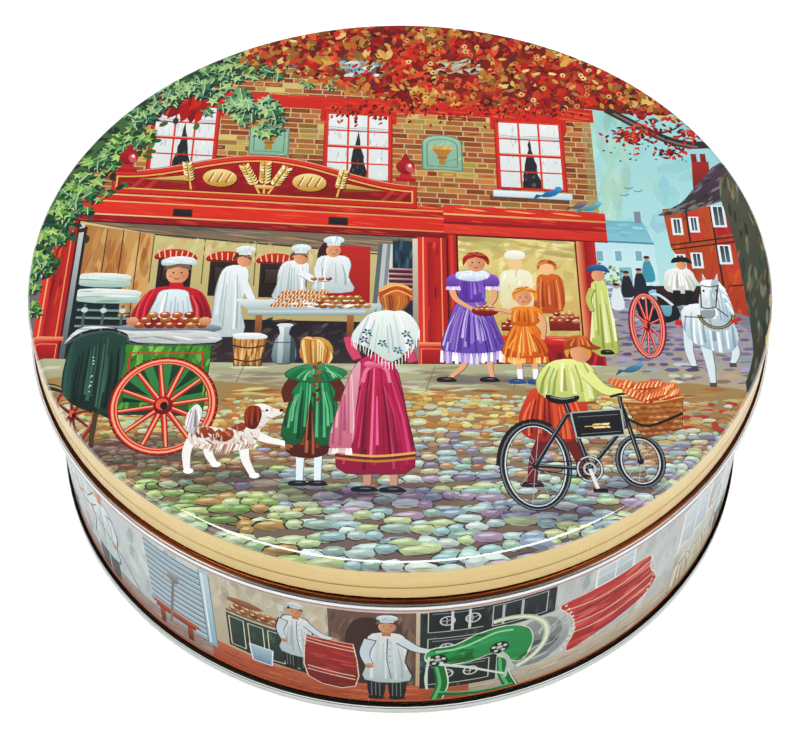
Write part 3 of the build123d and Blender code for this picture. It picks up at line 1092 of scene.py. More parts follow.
def limb(pic, points, start, end, ink):
    """An arm or leg as one tapered stroke with a shaded lower side."""
    pic.paint(ribbon([(px + 0.15, py - 0.2) for px, py in points], start, end), blend(ink, "3a2c30", 0.5))
    shape = pic.paint(ribbon(points, start * 0.92, end * 0.92), ink)
    return shape


def bakers(pic):
    """Three bakers at the table, all facing away from us or looking down at the bread."""
    with pic.at(-46, -27):
        white_coat(pic, 0.5, 0, 9, 24, 1.5)
        limb(pic, ((4.2, 19), (6.4, 13), (8.6, 8.4)), 2.5, 1.8, "e9f0f0")
        pic.paint(ellipse(8.8, 7.8, 1.1, 0.9, count=8), SKIN)
        head(pic, 4.2, 26.4, 2.5, "5c4438", "side")
        hair_cap(pic, 3.4, 26.4, 2.4, "5c4a40", 6)
        baker_hat(pic, 4.2, 28.4, 2.3)
    with pic.at(-29, -15):
        white_coat(pic, 0, 0, 9, 14, 1)
        limb(pic, ((2.6, 10), (6.5, 7), (9.5, 7.6)), 2.6, 1.7, "eef3f3")
        head(pic, 2.4, 15.2, 2.4, "5c4438", "side")
        hair_cap(pic, 1.6, 15.2, 2.3, "6d5a4c", 6)
        baker_hat(pic, 2.2, 17, 2.3)
    with pic.at(-18, -12):
        white_coat(pic, 0, 0, 10.5, 13)
        head(pic, 0, 15, 2.5, "5c4438")
        baker_hat(pic, 0, 16.9, 2.4)
        limb(pic, ((-4, 9), (-3.6, 5), (-1, 4.6)), 2.3, 1.6, "e4ecec")
        buns(pic, -3, 4.6, 6, 1, 0.9, ("c9473a", "d98a5a"))


def bread_table(pic):
    pic.paint(((-44, -14.6), (-5, -16.4), (-7, -19.4), (-40, -18.6)), "e6efee", "a9bcbf")
    pic.paint(rect(-40, -20.6, -9, -18.8), "d5e2e2", "8fa2a8")
    for x in (-37, -13, -7.6):
        pic.paint(rect(x - 0.9, -31, x + 0.9, -20.4), "b97a48", "6d4a35")
    for row in range(4):
        for i in range(5 - row // 2):
            x, y = -34 + i * 3.1 + row * 0.9, -17.6 + row * 1.5
            crust = pic.paint(ellipse(x + 1.4, y + 0.8, 1.75, 0.85, 12, 10), "e0a468", "a34a2c")
            with pic.inside(crust):
                for k in (0.4, 1.3, 2.2):
                    line(pic, ((x + k, y), (x + k + 0.5, y + 1.6)), 0.3, "f7e3bc")
    buns(pic, -15.6, -17.2, 16, 3, 1.25)
    dabs(pic, (-40, -19, -10, -14.8), 16, 2.4, 0.6, ("ffffff", "dfeaea"), 0, 20, 0.9)


def bucket_and_churn(pic):
    wood = outlined(pic, ((-43.6, -28), (-34.6, -28), (-35.6, -38), (-42.6, -38)), "d39a56", "9c6a36",
                    edge="3c2a20")
    with pic.inside(wood):
        for i in range(6):
            line(pic, ((-43 + i * 1.6, -27), (-42.2 + i * 1.3, -38)), 0.25, "6e4624")
        dabs(pic, (-43, -38, -35, -28), 24, 5, 0.6, ("e8bb78", "b87f44", "f0cf94"), 88, 5, 0.8)
    line(pic, ((-43.4, -31), (-39, -31.9), (-34.9, -31)), 0.5, "4a4038")
    line(pic, ((-42.9, -35.6), (-39, -36.5), (-35.3, -35.6)), 0.5, "4a4038")
    blob(pic, -39.1, -27.8, 4.8, 1.2, "fbfcfa", "d5dfdf", count=12)
    can = outlined(pic, loop((-32.6, -29.6), (-31.2, -27), (-31.6, -24), (-28.4, -24), (-28.8, -27),
                             (-27.2, -29.6),
                             (-27, -36.6), (-32.8, -36.6)), "c3ced0", "6f8088", edge="39434a")
    with pic.inside(can):
        pic.paint(rect(-31.6, -37, -30.2, -23), "f2f7f6", "9fb0b5")
        pic.paint(rect(-28.4, -37, -27, -23), "5a6b73", "46545c")
    pic.paint(ellipse(-30, -24, 2.2, 0.7, count=12), "dde6e6")
    line(pic, ((-32.6, -30), (-27.2, -30)), 0.3, "4d5a60")


def vendor(pic):
    """The stall keeper behind the cart, with a tray of buns."""
    shirt = pic.paint(loop((-64.5, -10.5), (-56, -10.5), (-51.5, -14), (-50.6, -24), (-69.6, -24),
                           (-68.6, -15)), "d3263a", "9b1830")
    folds(pic, shirt, -70, -50, -11, -24, ("e8485a", "7d1228", "f06a70"), 14, 0.7, 1.0)
    apron = outlined(pic, loop((-63, -11.6), (-57, -11.6), (-55.6, -15), (-54.6, -24), (-65.8, -24),
                               (-64.6, -15)), "e9f1f3", "c4d3d8", edge="93a5ad")
    folds(pic, apron, -65, -55, -12, -24, ("b9cbd2", "ffffff"), 8, 0.8, 0.8, 0.8)
    head(pic, -59.6, -5.6, 3.7, "8a6a50")
    hair_cap(pic, -59.6, -5.2, 3.5, "8f7a66", 8, low=8)
    pic.paint(rect(-61.4, -10.6, -57.8, -8.8), "d3263a")
    puff = pic.paint(loop((-63.6, -2.6), (-64, -0.4), (-60, 0.9), (-55.6, 0.2), (-54.8, -2.4), (-59, -1.8)),
                     "f6fafa", "bfd0d5")
    with pic.inside(puff):
        dabs(pic, (-64, -3, -55, 1), 10, 4, 0.5, WHITE, 0, 20)
    pic.paint(loop((-70.6, -23.6), (-49.6, -23.6), (-48.6, -26.4), (-71.6, -26.4)), "b5c2c6", "5f6f75")
    buns(pic, -60, -24, 19, 3, 1.55, ("c03a34", "d9744c", "c98a4a", "e3b06c", "a83030"))
    for x in (-70, -51):
        pic.paint(ellipse(x, -22.6, 1.7, 1.5, count=10), SKIN, "c98866")


def skirt(pic, top_left, top_right, top, left, right, bottom, ink, ink2, inks, count, edge="5a1c34"):
    """A full skirt from a narrow waist to a rounded hem, with fanning folds."""
    cloth = outlined(pic, loop(
        (top_left, top), (top_right, top), ((top_right + right) / 2 + 1, (top + bottom) / 2),
        (right, bottom + 1.5),
        ((left + right) / 2, bottom - 0.6), (left, bottom + 1.5),
        ((top_left + left) / 2 - 1, (top + bottom) / 2)),
        ink, ink2, edge=edge, width=0.18)
    waist = (top_right - top_left) / (right - left)
    folds(pic, cloth, left, right, top, bottom, inks, count, waist, (right - left) / count * 1.1)
    return cloth


def shoes(pic, spots, ink="23222b"):
    for x, y, wide in spots:
        shoe = pic.paint(loop((x - wide, y + 0.9), (x + wide * 0.4, y + 1.1), (x + wide, y + 0.2),
                              (x + wide * 0.9, y - 0.5), (x - wide, y - 0.5)), ink)
        with pic.inside(shoe):
            daub(pic, x, y + 0.5, wide, 0.35, 0, "77808f")


def girl_in_green(pic):
    """A girl seen from behind, with a plait, a green cape and coat."""
    for x in (-24.6, -20.2):
        limb(pic, ((x, -64), (x + 0.1, -75)), 2.3, 1.7, "e6f0f4")
    shoes(pic, ((-24.6, -75.6, 2.2), (-20, -75.6, 2.2)))
    skirt(pic, -25, -19, -46, -28, -17.4, -67, "8c3f2c", "5e2420", ("a85a3c", "4a1a18", "c07a50"), 12,
          "3a1614")
    coat = outlined(pic, loop((-26.5, -41), (-18, -41), (-15.8, -50), (-16.6, -62), (-21, -62.6),
                              (-22.4, -48),
                              (-24.4, -62.8), (-29.4, -61), (-28, -50)), "2f9560", "156a44", edge="10442c",
                    width=0.2)
    folds(pic, coat, -29, -16, -42, -62, ("56b886", "0f5234", "7fcf9a", "a9dca8"), 16, 0.7, 0.9)
    for side, x in ((-1, -28.2), (1, -15.8)):
        limb(pic, ((x + side * -1.4, -42), (x + side * 0.6, -46), (x, -49.6)), 3, 2.4, "6e3326")
    cape = outlined(pic, loop((-24.6, -37.6), (-19, -37.6), (-13.6, -39.8), (-15.8, -42.6), (-21.6, -43.6),
                              (-28, -42.4),
                              (-29.2, -40)), "3fa070", "1f7a50", edge="10442c", width=0.2)
    folds(pic, cape, -29, -14, -38, -43, ("84d0a0", "1c6a48", "b8e4b4"), 12, 0.5, 0.8)
    head(pic, -21.6, -33, 4.4, "e0b060", "back")
    for i in range(16):
        a = math.radians(20 + i * 9.3)
        line(pic, ((-21.6, -29.6), (-21.6 + 4.2 * math.cos(a), -33 + 4.6 * math.sin(a - 0.6)),
                   (-21.4 + 3.4 * math.cos(a), -37)),
             0.5, pic.vary(("f0cf86", "c98f42", "a8662c", "f8e2a8"), 0.04), 0.3)
    for i in range(9):
        daub(pic, -21.2 + 0.5 * (-1) ** i, -37 - i * 1.5, 1.9, 1.2, 50 * (-1) ** i,
             pic.vary(("8a4f2c", "b9793f", "5e3424")))


def woman_in_magenta(pic):
    """A woman seen from behind in a full skirt and a fringed white shawl."""
    for x in (-8, -1.6):
        limb(pic, ((x, -70), (x, -76)), 2.4, 1.9, "cfa08f")
    shoes(pic, ((-8.4, -77.4, 3), (-1.6, -77.6, 3)), "1f2129")
    gown = skirt(pic, -10.5, -2, -36, -15.6, 3.6, -72, "cf3068", "9c1a4c",
                 ("e0558a", "7a0f3a", "f089a8", "b01c50", "d23a72"), 24)
    with pic.inside(gown):
        for y, ink in ((-66.4, "e3b66a"), (-68, "c98f3f"), (-67.2, "7a2a3a")):
            line(pic, ((-16, y + 0.4), (-6, y - 0.7), (4, y + 0.4)), 0.7, ink)
    pink = outlined(pic, loop((-12.4, -40), (-10, -37), (-11, -52), (-12.4, -66), (-17.6, -64),
                              (-15.6, -52)),
                    "eab0bc", "c9768c", edge="8e3a54", width=0.16)
    folds(pic, pink, -17.6, -11, -38, -66, ("fbdce0", "c06a84", "f4c6cc"), 9, 0.7, 0.8)
    frill(pic, -17.6, -11.8, -64.6, 1.8, ("fdf3ee", "e9d3cf"), 7)
    for side in (-1, 1):
        line(pic, ((-6, -37.4), (-6 + side * 2.6, -39.4), (-6 + side * 3.4, -43.6)), 1.2, "e888a2", 0.8)
        pic.paint(ellipse(-6 + side * 1.6, -37.6, 1.7, 1.1, side * 20), "f09ab0", "c85a7c")
    for x, lift in ((-13, 0), (1.4, -1)):
        limb(pic, ((x, -28), (x + (0.6 if x < 0 else 0.4), -32), (x + 2, -35.6 + lift)), 3.6, 2.4, "d8557a")
    shawl = outlined(pic, loop((-7, -19.4), (1, -19), (5, -25), (3.4, -30.4), (-2, -36.6), (-8, -32),
                               (-12.6, -28.8), (-10.6, -23.6)),
                     "f3f7f3", "cfdcd8", edge="a9b8b2", width=0.16)
    folds(pic, shawl, -12, 4, -20, -36, ("c9d8d6", "ffffff", "b4c6c4"), 10, 0.6, 0.8, 0.7)
    with pic.inside(shawl):
        for x, y in ((-8.6, -26.4), (-4.6, -30.2), (-0.6, -32.6), (1.6, -27), (-9.4, -29), (2.6, -30)):
            for k in range(5):
                a = math.radians(72 * k + x * 20)
                daub(pic, x + 0.8 * math.cos(a), y + 0.8 * math.sin(a), 1.1, 0.7, 72 * k + x * 20,
                     pic.vary(("2f9fb5", "1f7f9c", "3a4f9c")))
            pic.paint(ellipse(x, y, 0.35, count=6), "f2d36a")
            daub(pic, x + 1, y - 1.1, 1.5, 0.5, -40, "2f8f5a")
    fringe = ((-12.6, -29), (-8, -32.4), (-2, -37), (3.4, -31), (5, -26))
    path = curve(fringe, per=7)
    for x, y in path:
        line(pic, ((x, y + 0.3), (x + pic.chance.uniform(-0.4, 0.4), y - 2.3)), 0.3,
             pic.vary(("fbfdf8", "d9e2da")), 0.16)
    head(pic, -1.4, -14.4, 4.2, "d8853f", "back")
    scarf = pic.paint(loop((-5.6, -14), (-5, -10.6), (-1, -8.9), (2.9, -11), (3.2, -14.6), (-1, -12.6)),
                      "eda24f", "c96a2c")
    with pic.inside(scarf):
        for i in range(9):
            line(pic, ((-5.4, -14.4 + i * 0.6), (-1, -11.6 + i * 0.45), (3.2, -14 + i * 0.6)), 0.35,
                 pic.vary(("f8cf8a", "b9541f", "f2b568")))
    for i in range(12):
        x = -4.8 + i * 0.62
        line(pic, ((x, -13.4), (x + 0.3, -16), (x * 0.7 - 0.6, -18.8)), 0.45,
             pic.vary(("c9793a", "8a4522", "e8aa5c", "f3c98a")), 0.3)


def lady_in_purple(pic):
    for x, foot in ((14.6, 12), (21.4, 23)):
        limb(pic, ((x + 2, -34), (x + 1.6, -38), (foot + 0.6, -42)), 2, 1.1, SKIN)
        shoes(pic, ((foot, -42.8, 2.3),))
    skirt(pic, 15.6, 22.2, -15, 11, 26.6, -34, "9270cc", "7658b8",
          ("bfa8e6", "66469e", "dcd2f4", "a78ad8", "52348a", "efe8fa"), 26, "3f2468")
    frill(pic, 10.4, 27, -32.6, 3.4, ("f1eafa", "d6c8ee", "ffffff", "bfaee2"), 22, 1.2)
    bodice = outlined(pic, loop((16, -5), (22, -5), (24.4, -8), (22.6, -11.6), (22, -15.4), (15.8, -15.4),
                                (15.2, -11), (13.6, -8)),
                      "8a5cc0", "6a45a8", edge="3f2468", width=0.18)
    folds(pic, bodice, 14, 24, -6, -15, ("b79ae0", "5a3796", "9a78d0"), 9, 0.8, 0.8)
    for side, x in ((-1, 14.2), (1, 24.6)):
        pic.paint(ellipse(x, -8.2, 1.9, 2.6, side * 20), "9a70cc", "6a45a8")
        frill(pic, x - 1.9, x + 1.9, -10.2, 1.3, ("f6f2fc", "d9cdf0"), 5)
    limb(pic, ((13.8, -11.6), (15, -15), (19.4, -18.6)), 1.9, 1.3, SKIN)
    limb(pic, ((25, -11.6), (24.6, -15), (21.8, -18.6)), 1.9, 1.3, SKIN)
    pic.paint(ellipse(22.4, -19, 3.6, 1.9), "b3282e", "7c141f")
    buns(pic, 22.4, -18.4, 5.6, 2, 0.8, ("e8b98a", "f2d0a4", "d98f62"))
    collar = outlined(pic, loop((16, -4.6), (22.6, -4.4), (24, -6.6), (20.6, -8.4), (16, -7.8),
                                (14.8, -6.4)), "eef4fb", "c4cfe6", edge="8f9bc0", width=0.16)
    folds(pic, collar, 15, 24, -4, -8, ("ffffff", "b4c2de"), 7, 0.6, 0.6)
    for side in (-1, 1):
        pic.paint(loop((19.4, -6.6), (19.4 + side * 2.6, -5.4), (19.4 + side * 2.8, -8)), "f7fafd",
                  "c9d4e8")
    head(pic, 20.4, -1.8, 3.1, "b0352a")
    hair_cap(pic, 20.4, -1.6, 3.5, "b5352c", 16, low=-25)


def girl_in_orange(pic):
    for x in (30.6, 34.6):
        limb(pic, ((x, -34), (x, -39.4)), 1.9, 1.4, SKIN)
        limb(pic, ((x, -39), (x, -42.4)), 1.6, 1.4, "eef4f8")
    shoes(pic, ((30, -43.4, 2), (34.8, -43.6, 2)), "2c5f92")
    skirt(pic, 30, 35, -23.6, 26.6, 38, -35.6, "ee8f2c", "c9601c", ("f8b95a", "a8430f", "fcd58a", "e07520"),
          20, "8a3a10")
    frill(pic, 26.4, 38.2, -34.6, 2, ("f9c070", "e07a22", "fbdc9c", "c9581a"), 18, 0.8)
    bodice = pic.paint(loop((30, -17.6), (35.6, -17.6), (37.6, -20), (35.4, -24), (30, -24), (28.6, -20)),
                       "f2a038", "cf6a1c")
    folds(pic, bodice, 28, 38, -18, -24, ("fbd27a", "b9521a"), 8, 0.8, 0.7)
    limb(pic, ((29.4, -19.4), (27, -18.6), (24.8, -18.4)), 1.6, 1.1, SKIN)
    limb(pic, ((36.8, -20.6), (37.6, -24), (37, -29)), 1.6, 1.1, SKIN)
    head(pic, 32.6, -14.4, 2.8, "eda544")
    hair_cap(pic, 33, -14, 3.2, "f0a23c", 14, low=-35)


def people_behind_glass(pic):
    """Two figures seen faintly through the shop window."""
    with pic.at(31, 0):
        pic.paint(loop((-3.4, -4.6), (3.4, -4.6), (4.4, -10), (3.8, -18), (-3.8, -18), (-4.4, -10)),
                  "f6f6e6", "e2dcb4", alpha=0.85)
        pic.paint(ellipse(0, -2, 2, 2.4), "f0cfa0")
        pic.paint(loop((-2.2, 0), (-2.6, 2.2), (0, 3.2), (2.6, 2.2), (2.2, 0)), "fbfbf2", "e6e6d2")
        dabs(pic, (-3.6, -17, 3.6, -5), 16, 3, 0.5, ("ffffff", "d6d2ae"), 85, 10, 0.7)
    with pic.at(39.6, -2):
        gown = pic.paint(loop((-2.4, -4), (2.6, -4), (4, -8), (3.2, -17), (-4, -17), (-3.4, -9)), "d8783c",
                         "c05a2a")
        folds(pic, gown, -4, 4, -4, -17, ("e8a060", "a8431e", "f0b878"), 9, 0.8, 0.8, 0.7)
        pic.paint(ellipse(-0.4, -1.8, 1.9, 2.3), "f2c998")
        hair_cap(pic, -0.2, -1.4, 2.6, "d9793a", 9, low=-30)
    for x, y, wide in ((43, -19, 8), (31, -21, 9)):
        pic.paint(rect(x - wide / 2, -26, x + wide / 2, y - 2), "a8432c", "7c2420")
        buns(pic, x, y - 3.6, wide, 3, 1.05, ("c9503c", "e3a070", "b5332c", "f0c9a0"))


def woman_in_lime(pic):
    gown = pic.paint(loop((51, -9), (54.6, -9), (55.4, -16), (56.6, -33), (49.6, -33), (50.6, -18)),
                     "d9e28a", "b5c06a")
    folds(pic, gown, 49, 57, -9, -33, ("eef3b8", "98a552", "f7f9d8"), 10, 0.7, 0.8)
    limb(pic, ((51, -11), (49.8, -15), (50.6, -19)), 1.7, 1.2, "c2cc74")
    head(pic, 53, -6.2, 2.2, "6b4a36", "side")
    pic.paint(loop((49.9, -5), (51, -2.6), (54.6, -2.4), (56.2, -5.2), (53, -4.4)), "3f7fb0", "24507c")
    shoes(pic, ((53.6, -33.6, 1.6),))


# ----------------------------------- lid picture: cart, carriage, bicycle, animals

def wheel(pic, x, y, rx, ry, spokes, ink, light, rim=1.5, spoke=0.8):
    """A spoked cart wheel: spokes, iron rim, and a hub with a dark bore."""
    for i in range(spokes):
        a = math.radians(360 * (i + 0.3) / spokes)
        cos, sin = math.cos(a), math.sin(a)
        tip = (x + (rx - rim * 0.6) * cos, y + (ry - rim * 0.6) * sin)
        line(pic, ((x, y), tip), spoke * 1.5, "7d1a1c", spoke)
        line(pic, ((x, y), tip), spoke * 1.1, ink, spoke * 0.75)
        line(pic, ((x + 0.2, y + 0.25), (tip[0], tip[1] + 0.2)), spoke * 0.35, light)
    for grow, wide, shade in ((0, rim * 1.25, "7a1a1b"), (-0.15, rim * 0.9, ink), (0.12, rim * 0.28, light),
                              (-rim * 0.42, rim * 0.2, "f0a183")):
        path = ellipse(x, y, rx + grow, ry + grow, count=40)
        for a, b in zip(path, path[1:] + path[:1]):
            line(pic, (a, b), wide, shade)
    pic.paint(ellipse(x, y, rx * 0.2, ry * 0.2), "a8241f", "6d1418")
    pic.paint(ellipse(x - 0.3, y + 0.4, rx * 0.13, ry * 0.13, count=12), "ee6a4c")
    pic.paint(ellipse(x + 0.2, y - 0.1, rx * 0.08, ry * 0.09, count=8), "20191b")


def market_cart(pic):
    """A green two-wheeled stall cart with a white top."""
    line(pic, ((-100, -44), (-92, -43.6), (-84, -47), (-77, -53)), 2, "3d3a2c", 1.6)
    line(pic, ((-100, -43.6), (-92, -43.2), (-84, -46.5)), 0.5, "b3a878")
    wheel(pic, -82, -54, 5.6, 8, 8, "7a1f2c", "b5454a", 1.1, 0.6)
    line(pic, ((-76, -48), (-76.6, -64)), 1.4, "5c4a33")
    box = pic.paint(loop((-85, -30), (-80, -26.6), (-73, -27.4), (-70.6, -31), (-71, -54), (-76, -53.4),
                         (-82, -51), (-86, -45)), "31584f", "17332f")
    folds(pic, box, -86, -71, -27, -54, ("3f6d60", "122a28", "527f6e", "28483f"), 20, 1.0, 0.8)
    side = outlined(pic, ((-71, -30.6), (-48.6, -30.6), (-49.6, -54), (-71, -54)), "4f9a3c", "2f6a33",
                    edge="1f4526")
    with pic.inside(side):
        dabs(pic, (-71, -54, -49, -30), 110, 5, 1.1, ("6fb04a", "3d8238", "8cc45c", "2c6a35", "a5d06c"), 85,
             25, 0.7)
    for x0, y0, x1, y1 in ((-69.4, -33.6, -50.6, -33.6), (-69.4, -33.6, -69.6, -41),
                           (-50.6, -33.6, -51, -42)):
        line(pic, ((x0, y0), (x1, y1)), 0.5, "c8442f")
    well = pic.paint(ellipse(-60, -45.5, 10, 8.6, count=24, start=0, sweep=180) + [(-70, -50), (-50, -50)],
                     "1f5a3a", "123a2c")
    with pic.inside(well):
        for i in range(7):
            a = math.radians(10 + 26 * i)
            line(pic, ((-60, -50), (-60 + 12 * math.cos(a), -50 + 14 * math.sin(a))), 1.6, "4aa05c", 2.6,
                 alpha=0.8)
    line(pic, ((-76, -53), (-50, -53.6)), 1.8, "24473f")
    top = pic.paint(loop((-87, -30.8), (-83, -26.4), (-76, -25), (-71, -27), (-68, -30), (-47.8, -30),
                         (-49.6, -26), (-70, -26), (-78, -24.4), (-84, -25.4)), "eef0ee", "b9bfbf")
    with pic.inside(top):
        dabs(pic, (-86, -31, -48, -24), 40, 7, 0.6, ("ffffff", "ccd2d2", "a9b2b4", "dfe5e4"), -5, 12, 0.8)
    line(pic, ((-87, -31), (-82, -27.4), (-76, -26.2), (-71, -28), (-68, -30.8), (-47.8, -30.9)), 0.5,
         "5a6a66")
    dabs(pic, (-79, -47, -78.4, -34), 9, 0.5, 0.4, ("dfe6da",), 0, 40)
    wheel(pic, -59.6, -51, 12.6, 14.8, 12, "d8382a", "f4b892", 2.0, 1.25)


def dog(pic):
    """A small white and brown dog looking up."""
    legs = (((-51.6, -62), (-52.6, -66), (-52, -71.6)), ((-47.6, -63), (-47, -66.6), (-45.4, -69.6)),
            ((-38.6, -63), (-38, -68), (-35.8, -73)), ((-35.6, -60.6), (-32.6, -62), (-29, -63)))
    for leg in legs:
        limb(pic, leg, 3, 1.6, "f4f2ee")
        pic.paint(ellipse(leg[2][0] + 0.3, leg[2][1], 1.3, 0.9, count=9), "fbfaf6")
    body = pic.paint(loop((-52.6, -60), (-49, -57.6), (-43, -58.4), (-38.6, -56), (-35.4, -57),
                          (-34.8, -61), (-37.4, -64.6),
                          (-44, -64.8), (-50.6, -64.4)), "f6f4f0", "d9d0c8")
    with pic.inside(body):
        for x, y, rx, ry in ((-48.6, -59.6, 2.6, 2), (-43.6, -60.4, 2.6, 2.2), (-40.2, -57.6, 2, 1.6)):
            blob(pic, x, y, rx, ry, "b5562c", "8a3a20")
        dabs(pic, (-52, -65, -35, -57), 60, 2.4, 0.5, ("ffffff", "d2c4b8", "c98f6c", "a8644a", "f2ebe2"),
             -60, 30, 0.85)
    for i in range(40):
        x = -50 + i * 0.38
        hang = 0.7 + 1.5 * math.sin(i * 0.079) ** 2 + pic.chance.uniform(-0.3, 0.4)
        line(pic, ((x, -63.4), (x - 0.9, -63.8 - hang)), 0.6,
             pic.vary(("fbfaf6", "cdbdb2", "e9ddd2", "b98f78")), 0.15)
    tail = pic.paint(loop((-52, -60), (-53.6, -57), (-53, -53), (-51, -50.6), (-49.6, -53), (-50.2, -56.6),
                          (-50.4, -59.4)), "f4f1ee", "c9c2c4")
    folds(pic, tail, -53.6, -49.6, -51, -60, ("ffffff", "8f8a90", "d9d4d4", "b5aeb2"), 12, 0.5, 0.7)
    skull = pic.paint(loop((-38, -53.6), (-36.6, -50.8), (-34, -50.6), (-31.6, -52), (-29.8, -52.4),
                           (-29.6, -53.8), (-32.4, -55.4),
                           (-34.6, -58.4), (-37.4, -58)), "f8f6f2", "ddd3ca")
    with pic.inside(skull):
        dabs(pic, (-37, -58, -31, -51), 16, 1.8, 0.4, ("ffffff", "cdbfb4"), -40, 30)
    ear = pic.paint(loop((-38.4, -51.6), (-35.6, -51.2), (-34.6, -54), (-35.8, -58.4), (-38.2, -58),
                         (-39, -55)), "9c3f22", "6a2418")
    folds(pic, ear, -39, -34.6, -51, -58, ("c9703c", "5a1c14", "b5562c"), 7, 0.8, 0.5)
    pic.paint(ellipse(-33.4, -52.6, 0.4, 0.4, count=7), "241c1c")
    pic.paint(ellipse(-29.8, -52.6, 0.55, 0.5, count=7), "1f1a1c")


def boy(pic):
    """A baker's boy pushing the bicycle, seen from behind."""
    for points in (((36, -60), (33, -68), (32, -75)), ((41, -60), (43.4, -66), (45, -72))):
        limb(pic, points, 3.4, 2.2, "7c2a2c")
    shoes(pic, ((32.4, -76, 2.8), (45.6, -73, 2.2)), "4a1c20")
    trousers = pic.paint(loop((35, -45), (46, -47), (46.6, -56), (42, -62.6), (32, -61.6), (29.6, -56),
                              (31.6, -49)), "dd5a34", "a8322a")
    folds(pic, trousers, 30, 46, -46, -62, ("f08a5a", "8a2320", "e56f42"), 14, 0.7, 1.0)
    shirt = outlined(pic, loop((38, -37), (44, -35.6), (49, -38), (50, -44), (48.6, -49.6), (36.6, -48.4),
                               (34.6, -43)),
                     "eef0a8", "c3cc78", edge="8a8f4a", width=0.16)
    folds(pic, shirt, 35, 50, -36, -50, ("fafbd6", "a8b263", "d9e094", "8fa35c"), 14, 0.6, 1.1)
    limb(pic, ((47.6, -40.6), (52, -46), (57.6, -47)), 3.8, 2.2, "e6eb9c")
    pic.paint(ellipse(58.6, -47.2, 1.3, 1, count=8), SKIN)
    head(pic, 46.6, -33.4, 3.4, "d99a3f", "side")
    hair_cap(pic, 45.8, -33.6, 3.3, "dfa64a", 12, low=-40)
    cap = pic.paint(loop((42.8, -32.4), (42.6, -29.4), (45, -27.6), (48.6, -28), (50, -30.6), (52, -31.8),
                         (50, -32.6), (46.4, -31.4)), "d9783c", "a34a20")
    folds(pic, cap, 42.6, 50.4, -27.8, -32, ("f0a868", "8a3a18"), 7, 0.5, 0.6)


